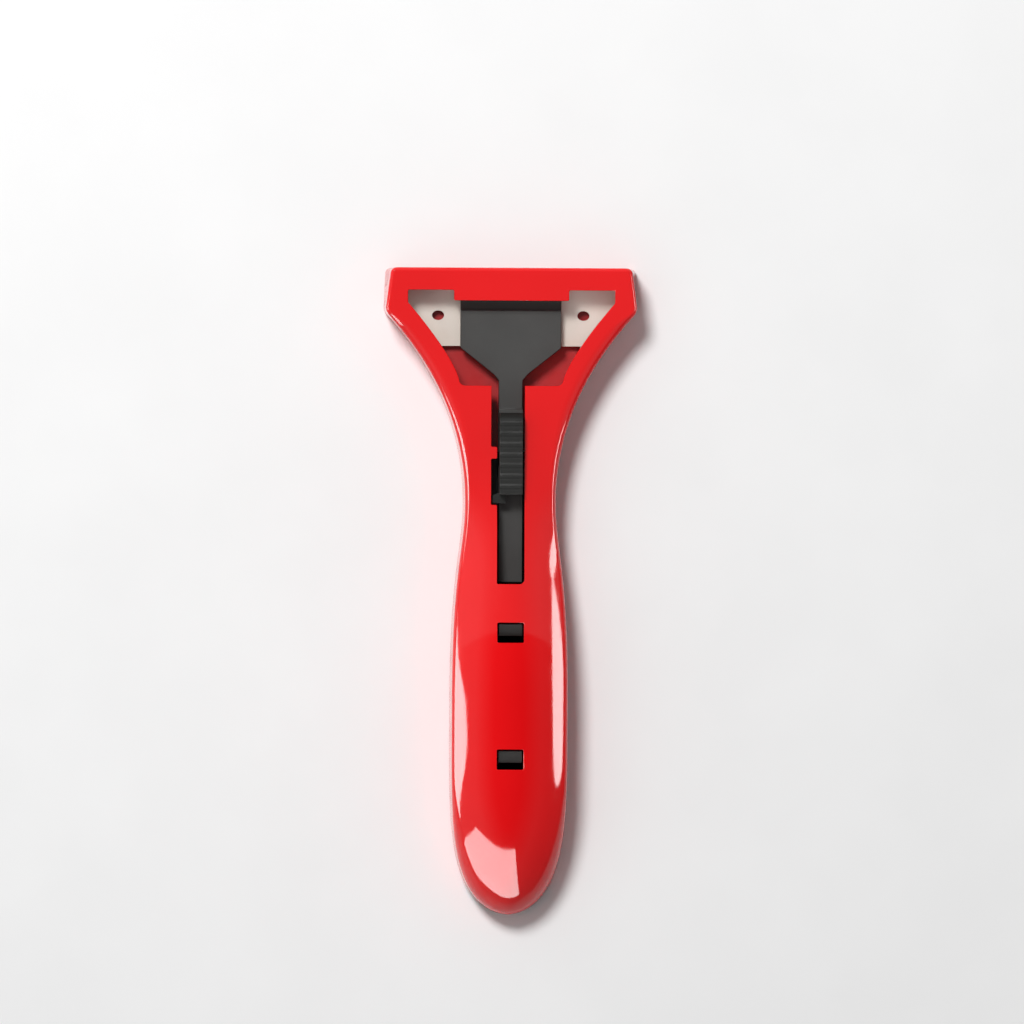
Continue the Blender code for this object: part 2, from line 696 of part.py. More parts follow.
def make_head_back_plate(red):
    """The flat red floor of the head, behind the blade."""
    points = outline(SIDE_WALL + GAP)
    end = BACK_JOINT_DISTANCE - GAP / 2
    plate = prism("head_back_plate", plan_strip(points, GAP, end), 0, BACK_THICKNESS, red)
    for side, spot in screw_places().items():
        cut(plate, countersink("guide_sink_" + side, spot, SCREW_RADIUS + GAP, SCREW_HEAD_RADIUS + GAP))
    return plate


def countersink(name, spot, radius, head_radius):
    """A countersunk hole through the back plate."""
    rings = []
    heights = (-OVERRUN, SCREW_SINK, SCREW_SINK + SCREW_HEAD_HEIGHT + GAP, BACK_THICKNESS + OVERRUN)
    for height, size in zip(heights, (head_radius, head_radius, radius, radius)):
        rings.append([Vector((x, y, height)) for x, y in circle(spot, size)])
    return loft(name, rings)


def make_screw(side, spot, steel):
    """A countersunk screw from the back, with a cross recess."""
    name = "back_screw_" + side
    head_top = SCREW_SINK + SCREW_HEAD_HEIGHT
    tip = SCREW_SINK + SCREW_LENGTH
    heights = (SCREW_SINK, head_top, tip - SCREW_RADIUS, tip)
    sizes = (SCREW_HEAD_RADIUS, SCREW_RADIUS, SCREW_RADIUS, SCREW_RADIUS * SCREW_TIP_SHARE)
    rings = []
    for height, size in zip(heights, sizes):
        rings.append([Vector((x, y, height)) for x, y in circle(spot, size)])
    screw = loft(name, rings, steel, rounded=True)
    arm = SCREW_HEAD_RADIUS * SCREW_RECESS_REACH_SHARE
    slim = SCREW_RECESS_WIDTH / 2
    depth = (SCREW_SINK - OVERRUN, SCREW_SINK + SCREW_RECESS_DEPTH)
    cross = [(slim, arm), (slim, slim), (arm, slim), (arm, -slim), (slim, -slim), (slim, -arm)]
    cross += [(-x, -y) for x, y in cross]
    cross = [(spot[0] + x, spot[1] + y) for x, y in cross]
    cut(screw, prism("guide_cross_" + side, cross, *depth))
    return screw


def make_rear_cover(black):
    """The black cover that closes the grip, with its blade pocket, lid channel and two hooks."""
    points = outline(SIDE_WALL + GAP)
    start = BACK_JOINT_DISTANCE + GAP / 2
    end = OVERALL_LENGTH - SIDE_WALL - FRONT_WALL
    cover = prism("rear_cover", plan_strip(points, start, end), 0, BACK_THICKNESS, black)
    deck_start = POCKET_DISTANCE - DECK_MARGIN
    deck_end = POCKET_DISTANCE + POCKET_LENGTH + DECK_MARGIN
    inside = outline(SIDE_WALL + 2 * GAP)
    deck = prism("guide_deck", plan_strip(inside, deck_start, deck_end), BACK_THICKNESS / 2, DECK_TOP)
    join(cover, deck)
    for index, y in enumerate(catch_places(), 1):
        join(cover, make_hook(f"guide_hook_{index}", y))
    half = BLADE_HEIGHT / 2 + GAP
    y_range = (along(POCKET_DISTANCE + POCKET_LENGTH), along(POCKET_DISTANCE))
    cut(cover, cut_box("guide_pocket", (-half, half), y_range, (-OVERRUN, POCKET_CEILING)))
    cut(cover, lid_bar("guide_lid_channel_cover", GAP))
    return cover


def make_hook(name, y):
    """One hook of the rear cover, which stands up into a square window."""
    top_edge = y + CATCH_LENGTH / 2 - GAP
    low_edge = top_edge - CATCH_LENGTH * HOOK_LENGTH_SHARE
    surface = front_height(HEAD_EDGE - y)
    high = surface - HOOK_DEPTH
    barb = surface - FRONT_WALL - 2 * GAP
    points = [
        (top_edge, DECK_TOP - DECK_THICKNESS / 2),
        (top_edge, high),
        (low_edge, high - HOOK_SLOPE),
        (low_edge, barb),
        (top_edge - HOOK_POST_THICKNESS, barb - HOOK_SLOPE),
        (top_edge - HOOK_POST_THICKNESS, DECK_TOP - DECK_THICKNESS / 2),
    ]
    half = CATCH_WIDTH / 2 - GAP
    return cross_prism(name, points, -half, half)


def make_storage_lid(black):
    """The lid over the spare blades, trimmed to the outside of the handle."""
    lid = lid_bar("storage_lid", 0, black)
    use(lid, make_outer_form("guide_lid_trim"), "INTERSECT")
    end = along(OVERALL_LENGTH - LID_GROOVE_FROM_END)
    half = LID_GROOVE_LENGTH / 2
    for index in range(LID_GROOVE_COUNT):
        y = end + index * LID_GROOVE_PITCH
        y_range = (y, y + LID_GROOVE_WIDTH)
        cut(lid, cut_box(f"guide_lid_groove_{index}", (-half, half), y_range, (-OVERRUN, LID_GROOVE_DEPTH)))
    return lid


def make_blade(name, steel, centre, bottom, turned):
    """A flat blade with a bevelled cutting edge, two oval holes and two round ones."""
    half = BLADE_LENGTH / 2
    edge = BLADE_HEIGHT / 2
    bevel = edge - BLADE_BEVEL
    middle = BLADE_THICKNESS / 2
    slim = BLADE_EDGE_THICKNESS / 2
    section = [(-edge, 0), (bevel, 0), (edge, middle - slim), (edge, middle + slim), (bevel, 2 * middle)]
    section.append((-edge, 2 * middle))
    blade = cross_prism(name, section, -half, half, steel)
    oval_y = BLADE_HOLE_FROM_BACK - edge
    holes = []
    for side in (-1, 1):
        spot = (side * BLADE_HOLE_SPACING / 2, oval_y)
        holes.append(circle(spot, BLADE_HOLE_WIDTH / 2, BLADE_HOLE_HEIGHT / 2))
        spot = (side * PEG_SPACING / 2, PEG_FROM_BACK - edge)
        holes.append(circle(spot, PEG_RADIUS + GAP))
    carrier = bpy.data.objects.new("place_" + name, None)
    bpy.context.scene.collection.objects.link(carrier)
    blade.parent = carrier
    past = OVERRUN * BLADE_CORNER_HEIGHT / BLADE_CORNER_WIDTH
    wide, slim = half + OVERRUN, half - BLADE_CORNER_WIDTH - OVERRUN
    for side in (-1, 1):
        corner = [(wide, -edge - past), (wide, BLADE_CORNER_HEIGHT - edge + past), (slim, -edge - past)]
        holes.append([(side * x, y) for x, y in corner])
    for index, hole in enumerate(holes):
        tool = prism(f"guide_{name}_cut_{index}", hole, -OVERRUN, BLADE_THICKNESS + OVERRUN)
        tool.parent = carrier
        cut(blade, tool)
    carrier.location = (centre[0], centre[1], bottom)
    carrier.rotation_euler = (0, 0, math.pi / 2 if turned else 0)
    return blade


def make_slide_carriage(black):
    """Paddle, stem and tail in one piece, with the lip and pegs that hold the blade."""
    wide = PADDLE_WIDTH / 2
    stem = STEM_WIDTH / 2
    top = along(PADDLE_TOP_DISTANCE)
    side = along(BLADE_BACK_DISTANCE + PADDLE_PAST_BLADE)
    taper = side - PADDLE_TAPER_LENGTH
    half = PADDLE_TAPER_WIDTH / 2
    spine_y = along(SPINE_START_DISTANCE)
    right = [(wide, top), (wide, side), (half, taper), (stem, taper - NECK_FILLET)]
    right.append((stem, spine_y - OVERRUN))
    paddle = right + [(-x, y) for x, y in reversed(right)]
    carriage = prism("slide_carriage", paddle, PADDLE_BOTTOM, PADDLE_TOP, black)
    lip_y = (top - LIP_LENGTH, top + LIP_LENGTH)
    lip_z = (PADDLE_BOTTOM, PADDLE_BOTTOM + LIP_THICKNESS)
    join(carriage, cut_box("guide_lip", (-wide, wide), lip_y, lip_z))
    tail_y = along(SLOT_END_DISTANCE) + GAP
    spine_bottom = BACK_THICKNESS + GAP
    join(carriage, cut_box("guide_spine", (-stem, stem), (tail_y, spine_y), (spine_bottom, SPINE_TOP)))
    skid = SKID_WIDTH / 2
    skid_y = (tail_y + SKID_SET_IN, spine_y - SPINE_TO_SKID)
    skid_z = (spine_bottom, spine_bottom + SKID_THICKNESS)
    join(carriage, cut_box("guide_skid", (-skid, skid), skid_y, skid_z))
    peg_y = along(BLADE_BACK_DISTANCE - PEG_FROM_BACK)
    for side_name, sign in (("left", -1), ("right", 1)):
        peg = circle((sign * PEG_SPACING / 2, peg_y), PEG_RADIUS)
        peg_z = (CLAMP_BOTTOM, PADDLE_BOTTOM + PADDLE_THICKNESS / 2)
        join(carriage, prism("guide_peg_" + side_name, peg, *peg_z))
    clip = THUMB_CLIP_WIDTH / 2 + GAP
    clip_y = clip_range()
    clip_z = (SPINE_TOP - THUMB_CLIP_DEPTH - GAP, SPINE_TOP + OVERRUN)
    cut(carriage, cut_box("guide_clip_pocket", (-clip, clip), (clip_y[0] - GAP, clip_y[1] + GAP), clip_z))
    return carriage


def clip_range():
    """Y range of the thumb grip's clip, in the middle of the grip."""
    middle = along((THUMB_START_DISTANCE + THUMB_END_DISTANCE) / 2)
    return middle - THUMB_CLIP_LENGTH / 2, middle + THUMB_CLIP_LENGTH / 2


def thumb_side():
    """Side outline of the thumb grip: a ramp, then a row of grooves and ribs, as (y, z)."""
    start = along(THUMB_START_DISTANCE)
    root = THUMB_TOP - RIB_DEPTH
    crest = RIB_PITCH * RIB_CREST_SHARE
    flank = RIB_PITCH * (1 - RIB_CREST_SHARE - RIB_ROOT_SHARE) / 2
    points = [(start, THUMB_BOTTOM), (start, THUMB_TOP - THUMB_RAMP_DROP)]
    y = start - THUMB_RAMP_LENGTH
    for _ in range(RIB_COUNT):
        points.append((y, THUMB_TOP))
        points.append((y - flank, root))
        y -= RIB_PITCH
        points.append((y + crest + flank, root))
        points.append((y + crest, THUMB_TOP))
    points.append((y, THUMB_TOP))
    points.append((y, THUMB_BOTTOM))
    return points


def make_thumb_button(black):
    """The ribbed thumb grip, clipped into the carriage, with a pocket for its sprung catch."""
    half = THUMB_WIDTH / 2
    button = cross_prism("thumb_button", thumb_side(), -half, half, black)
    clip = THUMB_CLIP_WIDTH / 2
    clip_z = (SPINE_TOP - THUMB_CLIP_DEPTH, THUMB_BOTTOM + GAP)
    join(button, cut_box("guide_clip", (-clip, clip), clip_range(), clip_z))
    pocket_x = (-half - OVERRUN, -half + DETENT_POCKET_DEPTH)
    pocket_top = detent_root_y() + GAP
    pocket_z = (detent_z()[0] - GAP, detent_z()[1] + GAP)
    pocket_y = (along(THUMB_END_DISTANCE) - OVERRUN, pocket_top)
    cut(button, cut_box("guide_detent_pocket", pocket_x, pocket_y, pocket_z))
    return button


def detent_z():
    low = THUMB_BOTTOM + 2 * GAP
    return low, low + DETENT_LEAF_HEIGHT


def detent_root_y():
    return along(THUMB_START_DISTANCE + THUMB_RAMP_LENGTH + RIB_PITCH)


def make_detent_spring(black):
    """A sprung leaf whose lug rests in the lower notch and snaps past the tooth when the thumb grip moves."""
    leaf_out = -THUMB_WIDTH / 2 + DETENT_LEAF_SET_IN
    leaf_in = leaf_out + DETENT_LEAF_THICKNESS
    lug_tip = -NOTCH_HALF + DETENT_LUG_ROOM
    foot = along(NOTCH_LOW_DISTANCE) + GAP
    lug_top = foot + DETENT_LUG_LENGTH
    root = detent_root_y()
    root_low = root - DETENT_ROOT_LENGTH
    points = [
        (leaf_in, root),
        (leaf_in, foot),
        (lug_tip, foot),
        (lug_tip, lug_top - DETENT_LUG_RAMP),
        (leaf_out, lug_top),
        (leaf_out, root_low),
        (-THUMB_WIDTH / 2, root_low),
        (-THUMB_WIDTH / 2, root),
    ]
    return prism("detent_spring", points, *detent_z(), black)


def make_blade_clamp(steel):
    """The plate behind the blade, on the carriage's pegs."""
    half = CLAMP_WIDTH / 2
    middle = along(BLADE_BACK_DISTANCE - PEG_FROM_BACK)
    high, low = middle + CLAMP_HEIGHT / 2, middle - CLAMP_HEIGHT / 2
    corner = CLAMP_CORNER
    right = [(half - corner, high), (half, high - corner), (half, low + corner), (half - corner, low)]
    points = right + [(-x, y) for x, y in reversed(right)]
    clamp = prism("blade_clamp", points, CLAMP_BOTTOM, CLAMP_BOTTOM + CLAMP_THICKNESS, steel)
    for side_name, sign in (("left", -1), ("right", 1)):
        hole = circle((sign * PEG_SPACING / 2, middle), PEG_RADIUS + GAP)
        cut(clamp, prism("guide_clamp_hole_" + side_name, hole, 0, PADDLE_BOTTOM))
    return clamp


def build():
    clear_scene()
    red = material("red_plastic", (0.79, 0.012, 0.014), 0.16)
    black = material("black_plastic", (0.030, 0.030, 0.028), 0.42)
    steel = material("blade_steel", (0.52, 0.49, 0.45), 0.28, 1.0)
    zinc = material("screw_steel", (0.46, 0.47, 0.48), 0.35, 1.0)

    make_front_shell(red)
    make_head_back_plate(red)
    for side, spot in screw_places().items():
        make_screw(side, spot, zinc)
    make_rear_cover(black)
    make_storage_lid(black)

    make_slide_carriage(black)
    make_thumb_button(black)
    make_detent_spring(black)
    make_blade_clamp(zinc)
    blade_y = along(BLADE_SET_BACK + BLADE_HEIGHT / 2)
    make_blade("scraper_blade", steel, (0, blade_y), BLADE_BOTTOM, turned=False)

    spare_y = along(POCKET_DISTANCE + POCKET_LENGTH / 2)
    make_blade("spare_blade_1", steel, (0, spare_y), SPARE_HIGH_BOTTOM, turned=True)
    make_blade("spare_blade_2", steel, (0, spare_y), SPARE_LOW_BOTTOM, turned=True)


build()
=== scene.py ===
"""Looks of the retractable window scraper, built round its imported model.

X runs across the head, Y from the rounded end of the handle to the cutting edge, Z from the flat back to
the front. Lengths are in metres. A distance is measured from the cutting end of the handle.
"""

import math

import bmesh
import bpy
from mathutils import Matrix, Quaternion, Vector


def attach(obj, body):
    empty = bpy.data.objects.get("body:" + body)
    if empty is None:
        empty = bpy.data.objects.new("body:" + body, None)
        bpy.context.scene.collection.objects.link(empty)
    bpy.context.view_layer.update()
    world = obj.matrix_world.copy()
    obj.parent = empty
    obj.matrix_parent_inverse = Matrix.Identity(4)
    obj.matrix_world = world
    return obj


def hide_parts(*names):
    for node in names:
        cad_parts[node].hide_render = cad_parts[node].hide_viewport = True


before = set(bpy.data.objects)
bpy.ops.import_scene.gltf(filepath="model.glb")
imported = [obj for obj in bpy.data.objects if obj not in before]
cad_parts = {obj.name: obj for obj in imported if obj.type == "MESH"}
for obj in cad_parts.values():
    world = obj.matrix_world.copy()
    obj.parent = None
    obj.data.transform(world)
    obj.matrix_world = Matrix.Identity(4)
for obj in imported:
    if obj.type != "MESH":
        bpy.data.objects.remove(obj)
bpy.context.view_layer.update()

# Walls and clearances of the handle, which has its sizes from the model
GAP = 0.0003
OVERRUN = 0.0020
BLADE_BACK_DISTANCE = 0.0156
SIDE_WALL = 0.0018
FRONT_WALL = 0.0020
HOLLOW_ROUND = 0.0015
HOLLOW_STEP_LENGTH = 0.0010

# Its outline, seen from the front
OVERALL_LENGTH = 0.1294
HEAD_WIDTH = 0.0508
NECK_WIDTH = 0.0188
GRIP_WIDTH = 0.0238
HEAD_CORNER_RADIUS = 0.0011
HEAD_SIDE_TAPER = 0.0003
HEAD_SIDE_LENGTH = 0.0079
SHOULDER_CORNER_RADIUS = 0.0026
SHOULDER_CORNER_TURN = math.radians(42)
SHOULDER_HANDLE_SHARE = 0.33
NECK_HANDLE_SHARE = 0.434
WAIST_HANDLE_SHARE = 0.25
BELLY_HANDLE_SHARE = 0.663
BUTT_POWER = 4.8
NECK_DISTANCE = 0.0468
GRIP_DISTANCE = 0.0860
HEAD_EDGE = OVERALL_LENGTH / 2
BUTT_LENGTH = OVERALL_LENGTH - GRIP_DISTANCE

# Its thickness along its length
RISE_DISTANCE = 0.0340
HEAD_THICKNESS = 0.0104
GRIP_THICKNESS = 0.0158
NOSE_HEIGHT = 0.0034
NOSE_LIFT = 0.0026
NOSE_START_SHARE = 0.90
BUTT_FALL_POWER = 3.0
BUTT_ROUND_START_SHARE = 0.35
BUTT_ROUND_HEIGHT_SHARE = 0.62

# Its rounded edges, crowned front and leaning sides
HEAD_EDGE_ROUND = 0.0008
BAND_GROWTH_LENGTH = 0.0046
BAND_ROUND = 0.0029
BAND_DROP = 0.0014
GRIP_EDGE_ROUND = 0.0011
GRIP_EDGE_DROP = 0.0018
BACK_EDGE_ROUND = 0.0006
GRIP_BACK_ROUND = 0.0025
CROWN_SLOPE = 0.66
CROWN_DISTANCE = 0.0340
CROWN_GROWTH_LENGTH = 0.0280
HEAD_DRAFT = 0.0010
SIDE_DRAFT = 0.0003
MOST_DRAFT_SHARE = 0.25

# The window in the head, with the bar over it and the skirt round it
BAR_UNDERSIDE = 0.0065
BACK_THICKNESS = 0.0020
WINDOW_FOOT_DISTANCE = 0.0236
WINDOW_WIDTH = 0.0414
WINDOW_FOOT_WIDTH = 0.0208
WINDOW_SIDE_LENGTH = 0.0025
WINDOW_FOOT_RADIUS = 0.0012
WINDOW_UPPER_HANDLE_SHARES = (0.39, 0.30)
WINDOW_LOWER_HANDLE_SHARES = (0.88, 0.73)
BAR_DEPTH = 0.0045
TONGUE_DEPTH = 0.0066
TONGUE_WIDTH = 0.0230
SKIRT_WALL = 0.0015
SKIRT_BELOW_BLADE = 0.0006
SKID_WIDTH = 0.0092
RUNWAY_CLEARANCE = 0.0006

# The thumb slot with its notches, and the two square windows
SLOT_HALF = 0.00275
NOTCH_HALF = 0.00395
SLOT_END_DISTANCE = 0.0632
SLOT_CORNER = 0.0006
TOOTH_TOP_DISTANCE = 0.0358
TOOTH_LOW_DISTANCE = 0.0382
NOTCH_LOW_DISTANCE = 0.0474
CATCH_WIDTH = 0.0053
CATCH_LENGTH = 0.0040
CATCH_FROM_SLOT = 0.0097
CATCH_PITCH = 0.0253
DECK_TOP = 0.0043

# The screws and the storage lid
SCREW_DISTANCE = 0.0266
SCREW_EDGE_MARGIN = 0.0010
SCREW_RADIUS = 0.0010
SCREW_HEAD_RADIUS = 0.0020
SCREW_LENGTH = 0.0072
SCREW_BOSS_WALL = 0.0011
HOLLOW_STEP_DISTANCE = SCREW_DISTANCE + SCREW_HEAD_RADIUS + 2 * GAP
LID_WIDTH = 0.0160
LID_THICKNESS = 0.0012
LID_UNDERCUT = 0.0006
LID_DISTANCE = 0.0695

# How finely the visible surface is divided
CORNER_STEPS = 8
SHOULDER_STEPS = 44
WAIST_STEPS = 40
BUTT_STEPS = 52
BUTT_CROWDING = 1.9
NOSE_CUT_SHARE = 0.0012
EDGE_STEPS = 16
BACK_EDGE_STEPS = 6
CROWN_STEPS = 24
HOLE_STEPS = 32
FRONT_EDGE_STEPS = 6
RIM_STEPS = 4
RIM_TURN = math.radians(45)
RIM_RUN_OUT_SHARE = 0.35
WINDOW_RIM = 0.00014
SLOT_RIM = 0.00010
CATCH_RIM = 0.00012
OPENING_CORNER = 0.0003

# Ribs of the thumb grip
THUMB_RAMP_LENGTH = 0.0016
THUMB_RAMP_DROP = 0.0014
RAMP_STEPS = 8
RIB_COUNT = 7
RIB_PITCH = 0.0021
RIB_STEPS = 16
RIB_SEAM = 0.0017
RIB_GROOVE_SHARE = 0.27
RIB_GROOVE_HALF = 0.0007
RIB_SOFT_DEPTH = 0.00034

# How the pieces are cleaned, rounded and shaded
WELD_DISTANCE = 1e-6
FLAT_ANGLE = math.radians(0.5)
PLAN_CORNER_STEPS = 3
CORNER_REACH_PARTS = 2.2
LEAST_MITRE = 0.2
SHELL_SHARP_ANGLE = math.radians(32)
PIECE_SHARP_ANGLE = math.radians(60)
FACE_AREA_WEIGHT = 100
MOULDED_EDGE = 0.0002
LID_EDGE = 0.00015
THIN_EDGE = 0.00012
EDGE_SEGMENTS = 3
EDGE_ANGLE = math.radians(32)
THUMB_EDGE = 0.0003
THUMB_EDGE_SEGMENTS = 4
THUMB_EDGE_ANGLE = math.radians(50)


def along(distance):
    """Y of a place that lies the given distance from the cutting end."""
    return HEAD_EDGE - distance


def blend(low, high, share):
    """The value that lies the given share of the way from low to high."""
    return low + (high - low) * share


def smooth(share):
    """The share eased in and out, from 0 to 1."""
    share = min(max(share, 0), 1)
    return share * share * (3 - 2 * share)


def curve_points(start, near_start, near_end, end, steps):
    """Points of one cubic curve, from just after its start to its end."""
    points = []
    for step in range(1, steps + 1):
        t = step / steps
        a, b, c, d = (1 - t) ** 3, 3 * t * (1 - t) ** 2, 3 * t * t * (1 - t), t**3
        points.append(
            tuple(a * p + b * q + c * r + d * s for p, q, r, s in zip(start, near_start, near_end, end))
        )
    return points


def outline(inset=0.0):
    """The handle's half width along its length, as (distance, half width), drawn in by the inset."""
    head = HEAD_WIDTH / 2 - inset
    neck = NECK_WIDTH / 2 - inset
    grip = GRIP_WIDTH / 2 - inset
    end = head - HEAD_SIDE_TAPER
    corner = max(HEAD_CORNER_RADIUS - inset, 0)
    points = [(0, end - corner)]
    if corner:
        for step in range(1, CORNER_STEPS + 1):
            turn = math.pi / 2 * step / CORNER_STEPS
            points.append((corner * (1 - math.cos(turn)), end - corner + corner * math.sin(turn)))
    else:
        points.append((HEAD_CORNER_RADIUS, end))
    points.append((HEAD_SIDE_LENGTH / 2, (end + head) / 2))
    points.append((HEAD_SIDE_LENGTH, head))
    radius = max(SHOULDER_CORNER_RADIUS - inset, GAP)
    for step in range(1, CORNER_STEPS + 1):
        turn = SHOULDER_CORNER_TURN * step / CORNER_STEPS
        points.append((HEAD_SIDE_LENGTH + radius * math.sin(turn), head - radius * (1 - math.cos(turn))))
    start = points[-1]
    shoulder = NECK_DISTANCE - start[0]
    reach = shoulder * SHOULDER_HANDLE_SHARE
    near_start = (
        start[0] + reach * math.cos(SHOULDER_CORNER_TURN),
        start[1] - reach * math.sin(SHOULDER_CORNER_TURN),
    )
    waist = (NECK_DISTANCE, neck)
    near_end = (NECK_DISTANCE - shoulder * NECK_HANDLE_SHARE, neck)
    points += curve_points(start, near_start, near_end, waist, SHOULDER_STEPS)
    swell = GRIP_DISTANCE - NECK_DISTANCE
    points += curve_points(
        waist,
        (NECK_DISTANCE + swell * WAIST_HANDLE_SHARE, neck),
        (GRIP_DISTANCE - swell * BELLY_HANDLE_SHARE, grip),
        (GRIP_DISTANCE, grip),
        WAIST_STEPS,
    )
    butt = BUTT_LENGTH - inset
    for step in range(1, BUTT_STEPS + 1):
        share = 1 - (1 - step / BUTT_STEPS) ** BUTT_CROWDING
        share = min(share, 1 - NOSE_CUT_SHARE)
        points.append((GRIP_DISTANCE + butt * share, grip * math.sqrt(1 - share**BUTT_POWER)))
    return points


def half_width_at(points, distance):
    """The outline's half width at a distance, between two of its points."""
    for (near, wide), (far, narrow) in zip(points, points[1:]):
        if near <= distance <= far and far > near:
            return blend(wide, narrow, (distance - near) / (far - near))
    return points[-1][1]


def butt_share(distance):
    """How far along the rounded end a place lies, from 0 at its start to 1 at its tip."""
    return max((distance - GRIP_DISTANCE) / BUTT_LENGTH, 0)


def front_height(distance):
    """Height of the front face on the centre line."""
    rise = smooth((distance - RISE_DISTANCE) / (GRIP_DISTANCE - RISE_DISTANCE))
    height = blend(HEAD_THICKNESS, GRIP_THICKNESS, rise)
    fall = math.sqrt(max(1 - butt_share(distance) ** BUTT_FALL_POWER, 0))
    height = blend(NOSE_HEIGHT, height, fall) if distance > GRIP_DISTANCE else height
    if distance < HEAD_EDGE_ROUND:
        left = HEAD_EDGE_ROUND - max(distance, 0)
        height -= HEAD_EDGE_ROUND - math.sqrt(HEAD_EDGE_ROUND**2 - left**2)
    return height


def back_height(distance):
    """Height of the back face, which is flat until it lifts near the tip of the rounded end."""
    lift = (butt_share(distance) - NOSE_START_SHARE) / (1 - NOSE_START_SHARE)
    return NOSE_LIFT * (1 - math.sqrt(1 - min(max(lift, 0), 1) ** 2))


def edge_sizes(distance, half_width):
    """Width and drop of the front edge's rounding, rounding at the back, and slope of the crowned front."""
    grow = smooth((distance - HEAD_SIDE_LENGTH) / BAND_GROWTH_LENGTH)
    fade = smooth((distance - WINDOW_FOOT_DISTANCE) / (NECK_DISTANCE - WINDOW_FOOT_DISTANCE))
    width = blend(blend(HEAD_EDGE_ROUND, BAND_ROUND, grow), GRIP_EDGE_ROUND, fade)
    drop = blend(blend(HEAD_EDGE_ROUND, BAND_DROP, grow), GRIP_EDGE_DROP, fade)
    back = blend(BACK_EDGE_ROUND, GRIP_BACK_ROUND, fade)
    slope = CROWN_SLOPE * smooth((distance - CROWN_DISTANCE) / CROWN_GROWTH_LENGTH)
    if distance > GRIP_DISTANCE:
        slim = min(half_width / (GRIP_WIDTH / 2), 1)
        height = front_height(distance) - back_height(distance)
        dome = smooth((butt_share(distance) - BUTT_ROUND_START_SHARE) / (1 - BUTT_ROUND_START_SHARE))
        width = blend(width * slim, half_width * (1 - MOST_DRAFT_SHARE), dome)
        drop = blend(drop * height / GRIP_THICKNESS, height * BUTT_ROUND_HEIGHT_SHARE, dome)
        back *= slim
    return width, drop, back, slope


def side_draft(distance, half_width):
    """How far the side leans in, which is most at the cutting end."""
    draft = blend(HEAD_DRAFT, SIDE_DRAFT, min(max(distance / HEAD_SIDE_LENGTH, 0), 1))
    return min(draft, half_width * MOST_DRAFT_SHARE)


def crown_sizes(half_width, width, drop, slope):
    """Where the front edge's rounding ends: its angle, and the crown's half width and fall."""
    last_turn = math.atan2(drop, width * slope)
    shoulder = half_width - width + width * math.cos(last_turn)
    return last_turn, shoulder, shoulder * slope / 2


def front_arc(half_width, top, width, drop, slope):
    """The front of a section, from its side over the rounded edge and the crown to the middle."""
    last_turn, shoulder, crown = crown_sizes(half_width, width, drop, slope)
    middle = half_width - width
    base = top - crown - drop * math.sin(last_turn)
    side = []
    for step in range(EDGE_STEPS + 1):
        turn = last_turn * step / EDGE_STEPS
        side.append((middle + width * math.cos(turn), base + drop * math.sin(turn)))
    for step in range(1, CROWN_STEPS):
        share = 1 - step / CROWN_STEPS
        side.append((shoulder * share, top - crown * share * share))
    side.append((0, top))
    return side


def outer_ring(distance, half_width):
    """One closed section of the handle's outside."""
    bottom = back_height(distance)
    width, drop, back, slope = edge_sizes(distance, half_width)
    side = [(0, bottom)]
    for step in range(BACK_EDGE_STEPS + 1):
        turn = math.pi / 2 * step / BACK_EDGE_STEPS
        side.append((half_width - back + back * math.sin(turn), bottom + back - back * math.cos(turn)))
    leaned = half_width - side_draft(distance, half_width)
    side += front_arc(leaned, front_height(distance), width, drop, slope)
    return closed_ring(side, along(distance))


def hollow_ring(distance, half_width):
    """One closed section of the space inside the front shell, which is open at the back."""
    opened = min(max((distance - HOLLOW_STEP_DISTANCE) / HOLLOW_STEP_LENGTH, 0), 1)
    ceiling = blend(BAR_UNDERSIDE, front_height(distance) - FRONT_WALL, opened)
    outer_width, outer_drop, _, slope = edge_sizes(distance, half_width)
    width = max(outer_width - SIDE_WALL, GAP)
    drop = max(outer_drop - FRONT_WALL, GAP)
    if distance > HOLLOW_STEP_DISTANCE:
        width = max(width, min(HOLLOW_ROUND, half_width / 2))
        drop = max(drop, HOLLOW_ROUND)
    side = [(0, -OVERRUN), (half_width, -OVERRUN)]
    side += front_arc(half_width, ceiling, width, drop, slope * opened)
    return closed_ring(side, along(distance))


def closed_ring(side, y):
    """A full section from its right half, which runs from the middle of the back round to the front."""
    right = [Vector((x, y, z)) for x, z in side]
    left = [Vector((-x, y, z)) for x, z in reversed(side[1:-1])]
    return right + left


def place(name, work):
    """Turns the filled bmesh into a named object with its faces pointing out."""
    bmesh.ops.recalc_face_normals(work, faces=work.faces)
    mesh = bpy.data.meshes.new(name)
    work.to_mesh(mesh)
    work.free()
    made = bpy.data.objects.new(name, mesh)
    bpy.context.scene.collection.objects.link(made)
    return made


def loft(name, rings):
    """A solid through equal rings of points, closed at both ends."""
    work = bmesh.new()
    corners = [[work.verts.new(point) for point in ring] for ring in rings]
    count = len(rings[0])
    for near, far in zip(corners, corners[1:]):
        for index in range(count):
            after = (index + 1) % count
            work.faces.new((near[index], near[after], far[after], far[index]))
    work.faces.new(corners[0])
    work.faces.new(list(reversed(corners[-1])))
    return place(name, work)


def prism(name, points, low, high):
    """An upright solid over a plan outline of (x, y) points."""
    return loft(name, [[Vector((x, y, z)) for x, y in points] for z in (low, high)])


def cut_box(name, x_range, y_range, z_range):
    """A plain box to cut with."""
    left, right = x_range
    low, high = y_range
    return prism(name, [(left, low), (right, low), (right, high), (left, high)], *z_range)


def circle(centre, radius):
    """The plan outline of a round hole or boss."""
    turns = [2 * math.pi * step / HOLE_STEPS for step in range(HOLE_STEPS)]
    return [(centre[0] + radius * math.cos(turn), centre[1] + radius * math.sin(turn)) for turn in turns]


